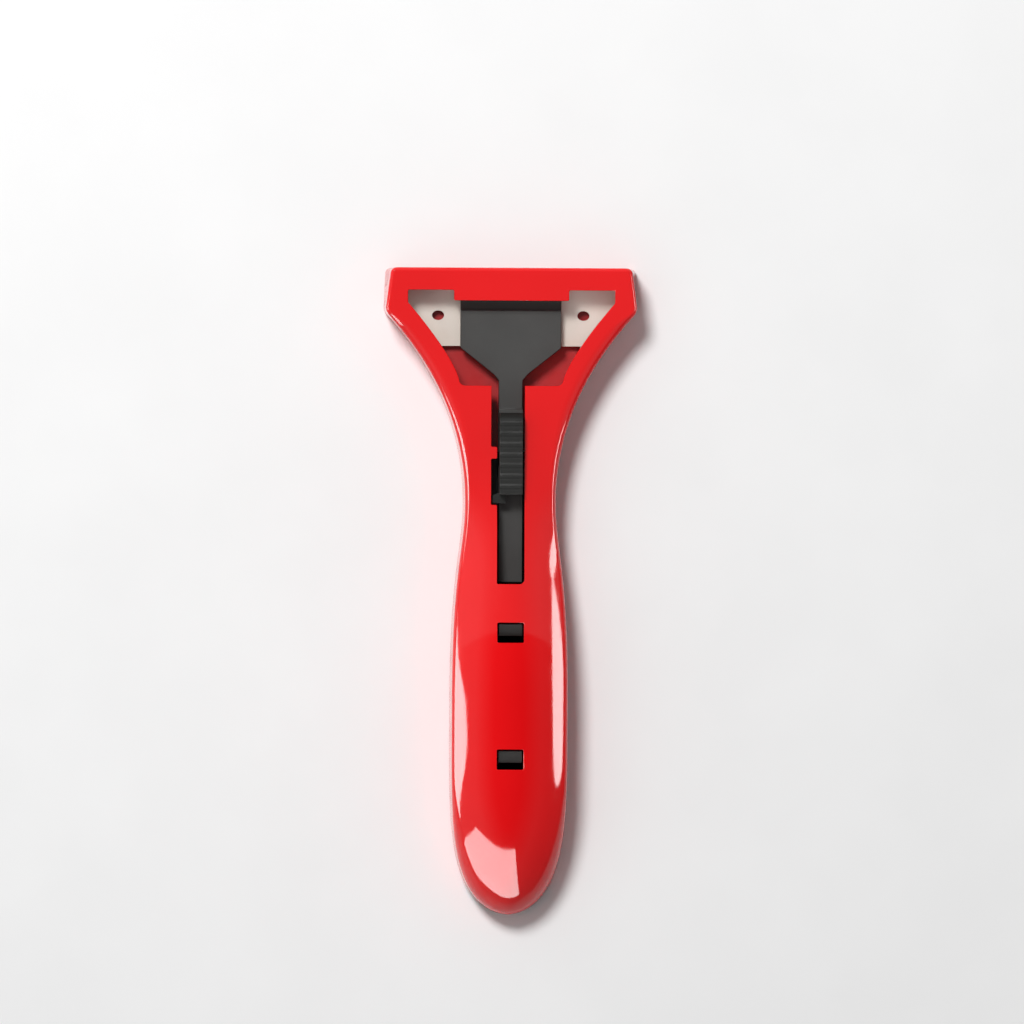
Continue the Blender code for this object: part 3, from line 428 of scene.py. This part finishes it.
def combine(target, tool, operation):
    """Applies one Boolean step with the tool at once, and deletes the tool."""
    step = target.modifiers.new("combine", "BOOLEAN")
    step.operation = operation
    step.solver = "EXACT"
    step.object = tool
    settle(target)
    bpy.data.objects.remove(tool, do_unlink=True)


def cut(target, tool):
    """Cuts the tool out of the target."""
    combine(target, tool, "DIFFERENCE")


def settle(target):
    """Applies the target's modifiers to its mesh."""
    bpy.context.view_layer.update()
    graph = bpy.context.evaluated_depsgraph_get()
    mesh = bpy.data.meshes.new_from_object(target.evaluated_get(graph))
    target.modifiers.clear()
    target.data = mesh
    return target


def mirrored(points):
    """A closed outline from its right half, which runs from the top of the centre line to its foot."""
    left = [(-x, y) for x, y in reversed(points) if x]
    return list(points) + left


def window_outline(grow=0.0):
    """The window in the head, right half first, from the bar's tongue round to the thumb slot."""
    top = WINDOW_WIDTH / 2 + grow
    foot = WINDOW_FOOT_WIDTH / 2 + grow
    side_y = along(BAR_DEPTH + WINDOW_SIDE_LENGTH)
    foot_y = along(WINDOW_FOOT_DISTANCE) - grow
    corner_y = foot_y + WINDOW_FOOT_RADIUS
    tongue = TONGUE_WIDTH / 2
    points = [(0, along(TONGUE_DEPTH)), (tongue, along(TONGUE_DEPTH)), (tongue, along(BAR_DEPTH))]
    points += [(top, along(BAR_DEPTH)), (top, side_y)]
    drop = top - foot
    fall = side_y - corner_y
    upper, lower = WINDOW_UPPER_HANDLE_SHARES, WINDOW_LOWER_HANDLE_SHARES
    points += curve_points(
        (top, side_y),
        (top - drop * upper[0], side_y - fall * upper[1]),
        (top - drop * lower[0], side_y - fall * lower[1]),
        (foot, corner_y),
        2 * CORNER_STEPS,
    )
    for step in range(1, CORNER_STEPS + 1):
        turn = math.pi / 2 * step / CORNER_STEPS
        x = foot - WINDOW_FOOT_RADIUS * (1 - math.cos(turn))
        points.append((x, corner_y - WINDOW_FOOT_RADIUS * math.sin(turn)))
    points.append((0, foot_y))
    return mirrored(points)


def slot_outline():
    """The thumb slot, with the two notches and the tooth on its left."""
    top = along(WINDOW_FOOT_DISTANCE) + OVERRUN
    end = along(SLOT_END_DISTANCE)
    return [
        (SLOT_HALF, top),
        (SLOT_HALF, end + SLOT_CORNER),
        (SLOT_HALF - SLOT_CORNER, end),
        (-SLOT_HALF, end),
        (-SLOT_HALF, along(NOTCH_LOW_DISTANCE)),
        (-NOTCH_HALF, along(NOTCH_LOW_DISTANCE)),
        (-NOTCH_HALF, along(TOOTH_LOW_DISTANCE)),
        (-SLOT_HALF, along(TOOTH_LOW_DISTANCE)),
        (-SLOT_HALF, along(TOOTH_TOP_DISTANCE)),
        (-NOTCH_HALF, along(TOOTH_TOP_DISTANCE)),
        (-NOTCH_HALF, top),
    ]


def catch_places():
    """Y of the middle of each square window."""
    first = along(SLOT_END_DISTANCE + CATCH_FROM_SLOT)
    return [first, first - CATCH_PITCH]


def screw_places():
    """Screws stand just inside the wall, below the window."""
    x = half_width_at(outline(SIDE_WALL), SCREW_DISTANCE) - SCREW_HEAD_RADIUS - SCREW_EDGE_MARGIN
    return {"left": (-x, along(SCREW_DISTANCE)), "right": (x, along(SCREW_DISTANCE))}


def rounded_plan(points, radius):
    """The plan outline with its corners rounded, each over less than half of the sides that it joins."""
    made = []
    count = len(points)
    for index, here in enumerate(points):
        before = Vector(points[index - 1]) - Vector(here)
        after = Vector(points[(index + 1) % count]) - Vector(here)
        reach = min(radius, before.length / CORNER_REACH_PARTS, after.length / CORNER_REACH_PARTS)
        start = Vector(here) + before.normalized() * reach
        end = Vector(here) + after.normalized() * reach
        for step in range(PLAN_CORNER_STEPS + 1):
            t = step / PLAN_CORNER_STEPS
            point = start * (1 - t) ** 2 + Vector(here) * 2 * t * (1 - t) + end * t * t
            made.append((point.x, point.y))
    return made


def offset_plan(points, grow):
    """The plan outline moved outward by the same distance all round."""
    count = len(points)
    area = sum(p[0] * q[1] - q[0] * p[1] for p, q in zip(points, points[1:] + points[:1]))
    sign = 1 if area > 0 else -1
    made = []
    for index in range(count):
        here = Vector(points[index])
        before = (here - Vector(points[index - 1])).normalized()
        after = (Vector(points[(index + 1) % count]) - here).normalized()
        first = Vector((before.y, -before.x)) * sign
        second = Vector((after.y, -after.x)) * sign
        both = first + second
        both = both / max(both.length_squared / 2, LEAST_MITRE)
        made.append((here.x + both.x * grow, here.y + both.y * grow))
    return made


def surface_height(x, y, widths):
    """Height of the handle's front at a place on its crown, between the rounded edges."""
    distance = HEAD_EDGE - y
    half_width = half_width_at(widths, distance)
    width, drop, _, slope = edge_sizes(distance, half_width)
    leaned = half_width - side_draft(distance, half_width)
    _, shoulder, crown = crown_sizes(leaned, width, drop, slope)
    return front_height(distance) - crown * (x / shoulder) ** 2


def mouth_cutter(name, points, low, rim):
    """An upright cutter whose mouth widens to an eased rim where it leaves the handle's front."""
    widths = outline()
    rings = [[Vector((x, y, low)) for x, y in points]]
    for step in range(RIM_STEPS + 1):
        turn = RIM_TURN * step / RIM_STEPS
        depth = rim * (1 - math.sin(turn))
        plan = offset_plan(points, rim * (1 - math.cos(turn)))
        rings.append([Vector((x, y, surface_height(x, y, widths) - depth)) for x, y in plan])
    run_out = rim * RIM_RUN_OUT_SHARE
    rise = run_out / math.tan(RIM_TURN) - rim * (1 - math.sin(RIM_TURN))
    plan = offset_plan(points, rim * (1 - math.cos(RIM_TURN)) + run_out)
    rings.append([Vector((x, y, surface_height(x, y, widths) + rise)) for x, y in plan])
    rings.append([Vector((x, y, GRIP_THICKNESS + OVERRUN)) for x, y in plan])
    return loft(name, rings)


def lid_channel():
    """The space of the storage lid and its clearance, run out past the rounded end of the handle."""
    wide = LID_WIDTH / 2 + GAP
    slope = LID_UNDERCUT / LID_THICKNESS
    low_half = wide - LID_UNDERCUT - slope * OVERRUN
    high_half = wide + slope * GAP
    high = LID_THICKNESS + GAP
    section = [(-low_half, -OVERRUN), (low_half, -OVERRUN), (high_half, high), (-high_half, high)]
    ends = (along(LID_DISTANCE) + GAP, along(OVERALL_LENGTH) - OVERRUN)
    return loft("lid_channel", [[Vector((x, y, z)) for x, z in section] for y in ends])


def make_handle_hollow():
    """The space inside the front shell, less the window's skirt and the screw bosses."""
    rings = [hollow_ring(-OVERRUN, HEAD_WIDTH / 2 - SIDE_WALL)]
    places = outline(SIDE_WALL)
    step_start = (HOLLOW_STEP_DISTANCE, half_width_at(places, HOLLOW_STEP_DISTANCE))
    step_end = HOLLOW_STEP_DISTANCE + HOLLOW_STEP_LENGTH
    places += [step_start, (step_end, half_width_at(places, step_end))]
    for distance, half_width in sorted(places)[1:]:
        rings.append(hollow_ring(distance, half_width))
    hollow = loft("hollow", rings)
    skirt_low = BACK_THICKNESS + GAP
    skirt_high = BAR_UNDERSIDE + OVERRUN
    skirt = prism("skirt", window_outline(SKIRT_WALL), skirt_low, skirt_high)
    above = (along(BLADE_BACK_DISTANCE + SKIRT_BELOW_BLADE), HEAD_EDGE + OVERRUN)
    cut(skirt, cut_box("skirt_top", (-HEAD_WIDTH, HEAD_WIDTH), above, (0, HEAD_THICKNESS)))
    runway = SKID_WIDTH / 2 + RUNWAY_CLEARANCE
    foot = along(WINDOW_FOOT_DISTANCE)
    runway_y = (foot - SKIRT_WALL - OVERRUN, foot + OVERRUN)
    cut(skirt, cut_box("runway", (-runway, runway), runway_y, (0, BAR_UNDERSIDE)))
    cut(hollow, skirt)
    for side, spot in screw_places().items():
        boss = circle(spot, SCREW_RADIUS + GAP + SCREW_BOSS_WALL)
        cut(hollow, prism("boss_" + side, boss, skirt_low, skirt_high))
    return hollow


def make_shell():
    """The red moulding, finer than the model's, with eased rims round its openings."""
    stations = outline()
    for step in range(1, FRONT_EDGE_STEPS):
        distance = HEAD_EDGE_ROUND * step / FRONT_EDGE_STEPS
        stations.append((distance, half_width_at(sorted(stations), distance)))
    shell = loft("handle_shell", [outer_ring(*spot) for spot in sorted(stations)])
    cut(shell, make_handle_hollow())
    window = rounded_plan(window_outline(), OPENING_CORNER)
    cut(shell, mouth_cutter("window", window, -OVERRUN, WINDOW_RIM))
    slot = rounded_plan(slot_outline(), OPENING_CORNER)
    cut(shell, mouth_cutter("slot", slot, BAR_UNDERSIDE - GAP, SLOT_RIM))
    for index, y in enumerate(catch_places(), 1):
        half, reach = CATCH_WIDTH / 2, CATCH_LENGTH / 2
        square = [(half, y + reach), (half, y - reach), (-half, y - reach), (-half, y + reach)]
        square = rounded_plan(square, OPENING_CORNER)
        cut(shell, mouth_cutter(f"catch_{index}", square, DECK_TOP, CATCH_RIM))
    for side, spot in screw_places().items():
        hole = circle(spot, SCREW_RADIUS + GAP)
        cut(shell, prism("hole_" + side, hole, 0, BACK_THICKNESS + SCREW_LENGTH))
    cut(shell, lid_channel())
    shell.data.shade_smooth()
    shell.data.set_sharp_from_angle(angle=SHELL_SHARP_ANGLE)
    return shell


def shade_flats(made):
    """Smooth shading in which the large faces keep their own direction."""
    made.data.shade_smooth()
    made.data.set_sharp_from_angle(angle=PIECE_SHARP_ANGLE)
    even = made.modifiers.new("even", "WEIGHTED_NORMAL")
    even.mode = "FACE_AREA"
    even.weight = FACE_AREA_WEIGHT
    even.keep_sharp = True
    return settle(made)


def cleaned(mesh):
    """A bmesh of the mesh, with its doubled points joined and its flat faces whole."""
    work = bmesh.new()
    work.from_mesh(mesh)
    bmesh.ops.remove_doubles(work, verts=work.verts, dist=WELD_DISTANCE)
    bmesh.ops.dissolve_limit(work, angle_limit=FLAT_ANGLE, verts=work.verts, edges=work.edges)
    return work


def copied(node, name):
    """A clean copy of a model piece."""
    return place(name, cleaned(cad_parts[node].data))


def soften(made, width, segments=EDGE_SEGMENTS, angle=EDGE_ANGLE):
    """Rounds the piece's sharp edges, as moulding and stamping leave them, and keeps its flats flat."""
    step = made.modifiers.new("edges", "BEVEL")
    step.width = width
    step.segments = segments
    step.limit_method = "ANGLE"
    step.angle_limit = angle
    return shade_flats(settle(made))


def softened(node, name, width):
    """A copy of a model piece with its edges rounded, which takes the piece's place."""
    made = soften(copied(node, name), width)
    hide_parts(node)
    return made


def make_thumb_grip():
    """The thumb grip, with soft shallow ribs in place of the model's straight ones."""
    grip = copied("thumb_button", "thumb_grip")
    corners = [corner.co for corner in grip.data.vertices]
    high = max(corner.z for corner in corners)
    half = max(corner.x for corner in corners)
    start = max(corner.y for corner in corners)
    end = min(corner.y for corner in corners)
    seam = high - RIB_SEAM
    across = (-2 * half, 2 * half)
    cut(grip, cut_box("ribs", across, (end - OVERRUN, start + OVERRUN), (seam, high + OVERRUN)))
    side = [(end, seam), (start, seam)]
    for step in range(RAMP_STEPS):
        left = 1 - step / RAMP_STEPS
        side.append((start - THUMB_RAMP_LENGTH * (1 - left), high - THUMB_RAMP_DROP * left * left))
    first = start - THUMB_RAMP_LENGTH
    for step in range(RIB_COUNT * RIB_STEPS + 1):
        y = first - RIB_PITCH * step / RIB_STEPS
        from_groove = abs((step / RIB_STEPS) % 1 - RIB_GROOVE_SHARE) * RIB_PITCH
        dip = max(1 - (from_groove / RIB_GROOVE_HALF) ** 2, 0) ** 2
        side.append((max(y, end), high - RIB_SOFT_DEPTH * dip))
    ribs = loft("ribs_made", [[Vector((x, y, z)) for y, z in side] for x in (-half, half)])
    combine(grip, ribs, "UNION")
    work = cleaned(grip.data)
    work.to_mesh(grip.data)
    work.free()
    soften(grip, THUMB_EDGE, THUMB_EDGE_SEGMENTS, THUMB_EDGE_ANGLE)
    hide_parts("thumb_button")
    return grip


# Where most of a noise's values lie, and how its details fade
NOISE_LOW = 0.35
NOISE_HIGH = 0.65
NOISE_ROUGHNESS = 0.55


def new_material(name, colour, roughness, metallic=0.0):
    """A Principled BSDF material with its tree and shader."""
    made = bpy.data.materials.new(name)
    made.use_nodes = True
    shader = made.node_tree.nodes["Principled BSDF"]
    shader.inputs["Base Color"].default_value = (*colour, 1)
    shader.inputs["Roughness"].default_value = roughness
    shader.inputs["Metallic"].default_value = metallic
    return made, made.node_tree, shader


def object_coordinates(tree, scale=(1, 1, 1)):
    """The piece's own coordinates, times the scale along each axis."""
    place_node = tree.nodes.new("ShaderNodeTexCoord")
    mapping = tree.nodes.new("ShaderNodeMapping")
    mapping.inputs["Scale"].default_value = scale
    tree.links.new(place_node.outputs["Object"], mapping.inputs["Vector"])
    return mapping.outputs["Vector"]


def noise(tree, coordinates, scale, detail):
    """A noise with the given number of waves in a metre."""
    made = tree.nodes.new("ShaderNodeTexNoise")
    made.inputs["Scale"].default_value = scale
    made.inputs["Detail"].default_value = detail
    made.inputs["Roughness"].default_value = NOISE_ROUGHNESS
    tree.links.new(coordinates, made.inputs["Vector"])
    return made.outputs["Fac"]


def ramp(tree, source, low, high, from_low=NOISE_LOW, from_high=NOISE_HIGH):
    """The source spread from its own span over the span from low to high."""
    made = tree.nodes.new("ShaderNodeMapRange")
    made.inputs["From Min"].default_value = from_low
    made.inputs["From Max"].default_value = from_high
    made.inputs["To Min"].default_value = low
    made.inputs["To Max"].default_value = high
    tree.links.new(source, made.inputs["Value"])
    return made.outputs["Result"]


def two_colours(tree, source, first, second):
    """A colour between the two, by the source."""
    made = tree.nodes.new("ShaderNodeMix")
    made.data_type = "RGBA"
    made.inputs["A"].default_value = (*first, 1)
    made.inputs["B"].default_value = (*second, 1)
    tree.links.new(source, made.inputs["Factor"])
    return made.outputs["Result"]


def bump(tree, shader, height, distance, under=None):
    """Relief as deep as the distance, in metres, over the relief under it where there is one."""
    made = tree.nodes.new("ShaderNodeBump")
    made.inputs["Strength"].default_value = 1
    made.inputs["Distance"].default_value = distance
    tree.links.new(height, made.inputs["Height"])
    if under is not None:
        tree.links.new(under, made.inputs["Normal"])
    tree.links.new(made.outputs["Normal"], shader.inputs["Normal"])
    return made.outputs["Normal"]


def mottle(tree, shader, noise_source, colour, other_colour):
    """Lets the colour wander slightly, from patch to patch."""
    tone = ramp(tree, noise_source, 0, 1)
    tree.links.new(two_colours(tree, tone, colour, other_colour), shader.inputs["Base Color"])


def tinted(colour, shares):
    """The colour with its red, green and blue cut down to the shares."""
    return tuple(part * share for part, share in zip(colour, shares))


# Red plastic. A noise is given by its scale and its detail.
RED_IOR = 1.49
RED_DEEPER_SHARES = (0.96, 0.80, 0.80)
RED_PATCHES = (45, 2)
RED_GLOSS_PATCHES = (260, 4)
RED_WAVES = (110, 1)
RED_WAVE_HEIGHT = 0.000006
RED_GRAIN = (1500, 2)
RED_GRAIN_HEIGHT = 0.0000012


def red_plastic(name, colour, low, high):
    """Moulded red plastic, with slow sink waves under a fine grain. Low and high bound its roughness."""
    made, tree, shader = new_material(name, colour, (low + high) / 2)
    shader.inputs["IOR"].default_value = RED_IOR
    even = object_coordinates(tree)
    mottle(tree, shader, noise(tree, even, *RED_PATCHES), colour, tinted(colour, RED_DEEPER_SHARES))
    gloss = ramp(tree, noise(tree, even, *RED_GLOSS_PATCHES), low, high)
    tree.links.new(gloss, shader.inputs["Roughness"])
    wave = bump(tree, shader, noise(tree, even, *RED_WAVES), RED_WAVE_HEIGHT)
    bump(tree, shader, noise(tree, even, *RED_GRAIN), RED_GRAIN_HEIGHT, under=wave)
    return made


# Black plastic
BLACK_DEEPER_SHARES = (0.80, 0.80, 0.80)
BLACK_PATCHES = (90, 4)
BLACK_GLOSS_PATCHES = (400, 4)
BLACK_GRAIN = (5200, 3)
BLACK_GRAIN_HEIGHT = 0.000010
BLACK_WAVES = (260, 1)
BLACK_WAVE_HEIGHT = 0.000006


def black_plastic(name, colour, low, high, shine):
    """Moulded black plastic with a spark eroded grain. Low and high bound its roughness."""
    made, tree, shader = new_material(name, colour, (low + high) / 2)
    shader.inputs["Specular IOR Level"].default_value = shine
    even = object_coordinates(tree)
    mottle(tree, shader, noise(tree, even, *BLACK_PATCHES), colour, tinted(colour, BLACK_DEEPER_SHARES))
    gloss = ramp(tree, noise(tree, even, *BLACK_GLOSS_PATCHES), low, high)
    tree.links.new(gloss, shader.inputs["Roughness"])
    grain = bump(tree, shader, noise(tree, even, *BLACK_GRAIN), BLACK_GRAIN_HEIGHT)
    bump(tree, shader, noise(tree, even, *BLACK_WAVES), BLACK_WAVE_HEIGHT, under=grain)
    return made


# Bare metal
STEEL_WARMER_SHARES = (0.94, 0.90, 0.86)
STEEL_PATCHES = (70, 4)
GRINDING = (2600, 3)
GRINDING_DEPTH = 0.0000004


def ground_steel(name, colour, fineness, low, high):
    """Bare metal, its grinding finer along an axis of more fineness. Low and high bound its roughness."""
    made, tree, shader = new_material(name, colour, (low + high) / 2, 1.0)
    even = object_coordinates(tree)
    lines = object_coordinates(tree, fineness)
    mottle(tree, shader, noise(tree, even, *STEEL_PATCHES), colour, tinted(colour, STEEL_WARMER_SHARES))
    grind = noise(tree, lines, *GRINDING)
    tree.links.new(ramp(tree, grind, low, high), shader.inputs["Roughness"])
    bump(tree, shader, grind, GRINDING_DEPTH)
    return made


def dress(piece, look, body=None):
    """Gives a piece its material, and lets a new piece ride on its body in its slot."""
    piece.data.materials.clear()
    piece.data.materials.append(look)
    if body is not None:
        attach(piece, body)


# The floor
FLOOR_REACH = 3.0
FLOOR_DROP = 0.00005
FLOOR_COLOUR = (0.87, 0.87, 0.87)
FLOOR_DEEPER_COLOUR = (0.85, 0.85, 0.85)
FLOOR_ROUGHNESS = 0.7
FLOOR_PATCHES = (30, 3)


def make_stage():
    """A plain pale floor, just below the scraper's flat back."""
    work = bmesh.new()
    near, far = -FLOOR_REACH, FLOOR_REACH
    plan = [(near, near), (far, near), (far, far), (near, far)]
    work.faces.new([work.verts.new((x, y, -FLOOR_DROP)) for x, y in plan])
    floor = place("floor", work)
    look, tree, shader = new_material("pale_floor", FLOOR_COLOUR, FLOOR_ROUGHNESS)
    shader.inputs["Specular IOR Level"].default_value = 0
    patches = noise(tree, object_coordinates(tree), *FLOOR_PATCHES)
    mottle(tree, shader, patches, FLOOR_COLOUR, FLOOR_DEEPER_COLOUR)
    floor.data.materials.append(look)


# The sky: its brightness on each side, low and overhead, and where each change begins and ends
SKY_LEFT = 0.62
SKY_RIGHT = 0.22
SKY_SIDE = 0.8
SKY_LOW = 1.0
SKY_OVERHEAD = 0.2
SKY_OVERHEAD_FROM = 0.72
SKY_OVERHEAD_FULL = 0.94


def make_sky():
    """A pale sky, brighter on the left and darker overhead."""
    sky = bpy.data.worlds.new("sky")
    bpy.context.scene.world = sky
    sky.use_nodes = True
    tree = sky.node_tree
    back = tree.nodes["Background"]
    direction = tree.nodes.new("ShaderNodeTexCoord")
    parts = tree.nodes.new("ShaderNodeSeparateXYZ")
    tree.links.new(direction.outputs["Generated"], parts.inputs["Vector"])
    across = ramp(tree, parts.outputs["X"], SKY_LEFT, SKY_RIGHT, -SKY_SIDE, SKY_SIDE)
    upward = ramp(tree, parts.outputs["Z"], SKY_LOW, SKY_OVERHEAD, SKY_OVERHEAD_FROM, SKY_OVERHEAD_FULL)
    both = tree.nodes.new("ShaderNodeMath")
    both.operation = "MULTIPLY"
    tree.links.new(across, both.inputs[0])
    tree.links.new(upward, both.inputs[1])
    tree.links.new(both.outputs["Value"], back.inputs["Strength"])
    back.inputs["Color"].default_value = (1, 1, 1, 1)


def lamp(name, shape, sizes, spot, target, radiance, gloss_only=True, turn=0.0):
    """An area lamp with the given brightness, turned in its own plane, that may show in the gloss only."""
    size_x, size_y = sizes
    area = size_x * size_y * (math.pi / 4 if shape == "ELLIPSE" else 1)
    data = bpy.data.lights.new(name, "AREA")
    data.shape = shape
    data.size = size_x
    data.size_y = size_y
    data.energy = radiance * math.pi * area
    made = bpy.data.objects.new(name, data)
    bpy.context.scene.collection.objects.link(made)
    made.location = spot
    aim = Vector(target) - Vector(spot)
    made.rotation_mode = "QUATERNION"
    made.rotation_quaternion = aim.to_track_quat("-Z", "Y") @ Quaternion((0, 0, 1), turn)
    made.visible_diffuse = not gloss_only
    made.visible_camera = False


# Lamps: their width and length, where they stand, what they face, and their brightness
HEAD_FRONT = (0, 0, 0.008)
GRIP_FRONT = (0, -0.025, 0.008)
MAIN_SIZES = (0.29, 0.29)
MAIN_SPOT = (-0.27, 0.51, 0.86)
MAIN_RADIANCE = 44.0
BOX_RADIANCE = 14.0
LEFT_SIZES = (0.28, 0.28)
LEFT_SPOT = (-0.609, -0.060, 0.233)
LEFT_TURN = math.pi / 4
RIGHT_SIZES = (0.31, 0.14)
RIGHT_SPOT = (0.573, 0.016, 0.312)
TOP_SIZES = (0.30, 0.25)
TOP_SPOT = (0.004, 0.1277, 0.06)
TOP_TARGET = (0.004, 0.1277, 0)
TOP_RADIANCE = 0.36
END_SIZES = (0.256, 0.155)
END_SPOT = (-0.087, -0.15, 0.1075)
END_TARGET = (-0.087, 0, 0.1075)
END_RADIANCE = 10.0


def make_lamps():
    """A main lamp beyond the cutting end, and lamps that show as highlights in the gloss."""
    lamp("main_lamp", "ELLIPSE", MAIN_SIZES, MAIN_SPOT, HEAD_FRONT, MAIN_RADIANCE, gloss_only=False)
    lamp("left_box", "RECTANGLE", LEFT_SIZES, LEFT_SPOT, GRIP_FRONT, BOX_RADIANCE, turn=LEFT_TURN)
    lamp("right_box", "ELLIPSE", RIGHT_SIZES, RIGHT_SPOT, GRIP_FRONT, BOX_RADIANCE)
    lamp("top_panel", "RECTANGLE", TOP_SIZES, TOP_SPOT, TOP_TARGET, TOP_RADIANCE)
    lamp("end_box", "RECTANGLE", END_SIZES, END_SPOT, END_TARGET, END_RADIANCE)


# The camera: a pixel's size at the given height, its turns, and the place that it faces
CAMERA_DISTANCE = 3.0
PIXEL = 0.0002
PIXEL_HEIGHT = 0.006
FRAME_PIXELS = 1024
VIEW_YAW = math.radians(1.65)
VIEW_ROLL = math.radians(0.29)
VIEW_X = 0.00056
VIEW_Y = 0.0159
SENSOR_WIDTH = 36.0
NEAREST_SEEN = 0.01
FARTHEST_SEEN = 20.0


def make_camera():
    """The camera of the photograph, which looks down on the front from far away."""
    data = bpy.data.cameras.new("camera")
    data.sensor_width = SENSOR_WIDTH
    data.lens = SENSOR_WIDTH * (CAMERA_DISTANCE - PIXEL_HEIGHT) / (PIXEL * FRAME_PIXELS)
    data.clip_start = NEAREST_SEEN
    data.clip_end = FARTHEST_SEEN
    made = bpy.data.objects.new("camera", data)
    bpy.context.scene.collection.objects.link(made)
    turn = Matrix.Rotation(-VIEW_YAW, 4, "Y") @ Matrix.Rotation(VIEW_ROLL, 4, "Z")
    target = Vector((VIEW_X, VIEW_Y, 0))
    made.matrix_world = Matrix.Translation(target) @ turn @ Matrix.Translation((0, 0, CAMERA_DISTANCE))
    bpy.context.scene.camera = made


# Colours, the least and the most roughness, the shine of the blacks, and the fineness of the grinding
GLOSSY_RED = (0.77, 0.003, 0.005)
GLOSSY_RED_ROUGHNESS = (0.05, 0.09)
# The floor seen through the window is the same red moulding as the shell. Its colour is darkened to paint
# in the shade it lies in under the bar and walls, and its roughness is higher.
SHADE_PAINTED_RED = (0.36, 0.003, 0.005)
SATIN_RED_ROUGHNESS = (0.32, 0.44)
SATIN_BLACK = (0.034, 0.034, 0.032)
SATIN_BLACK_ROUGHNESS = (0.46, 0.54)
SATIN_BLACK_SHINE = 0.38
DEEP_BLACK = (0.010, 0.010, 0.009)
DEEP_BLACK_ROUGHNESS = (0.50, 0.60)
DEEP_BLACK_SHINE = 0.17
BLADE_STEEL = (0.54, 0.51, 0.47)
BLADE_FINENESS = (1, 14, 1)
BLADE_ROUGHNESS = (0.57, 0.64)
ZINC = (0.62, 0.62, 0.61)
ZINC_FINENESS = (1, 1, 1)
ZINC_ROUGHNESS = (0.34, 0.46)


def make_looks():
    """Puts the finer pieces in place, and gives every visible piece its material."""
    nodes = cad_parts
    red = red_plastic("glossy_red", GLOSSY_RED, *GLOSSY_RED_ROUGHNESS)
    shade_painted_red = red_plastic("painted_shade_red", SHADE_PAINTED_RED, *SATIN_RED_ROUGHNESS)
    black = black_plastic("satin_black", SATIN_BLACK, *SATIN_BLACK_ROUGHNESS, SATIN_BLACK_SHINE)
    deep_black = black_plastic("deep_black", DEEP_BLACK, *DEEP_BLACK_ROUGHNESS, DEEP_BLACK_SHINE)
    steel = ground_steel("blade_ground", BLADE_STEEL, BLADE_FINENESS, *BLADE_ROUGHNESS)
    zinc = ground_steel("plated", ZINC, ZINC_FINENESS, *ZINC_ROUGHNESS)

    shell = make_shell()
    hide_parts("front_shell")
    dress(shell, red, "handle")
    # The floor under the window gets the red with painted shade in its colour.
    floor = softened("head_back_plate", "head_floor", MOULDED_EDGE)
    dress(floor, shade_painted_red, "handle")
    cover = softened("rear_cover", "grip_cover", MOULDED_EDGE)
    dress(cover, deep_black, "handle")
    dress(softened("storage_lid", "blade_lid", LID_EDGE), deep_black, "lid")
    carriage = softened("slide_carriage", "carriage", MOULDED_EDGE)
    dress(carriage, black, "blade_slide")
    dress(make_thumb_grip(), deep_black, "blade_slide")
    catch = softened("detent_spring", "sprung_catch", THIN_EDGE)
    dress(catch, deep_black, "blade_slide")
    dress(softened("blade_clamp", "clamp_plate", THIN_EDGE), zinc, "blade_slide")
    for node in ("scraper_blade", "spare_blade_1", "spare_blade_2"):
        dress(nodes[node], steel)
    for node in ("back_screw_left", "back_screw_right"):
        dress(nodes[node], zinc)


bpy.context.scene.view_settings.view_transform = "Standard"
make_stage()
make_sky()
make_lamps()
make_camera()
make_looks()
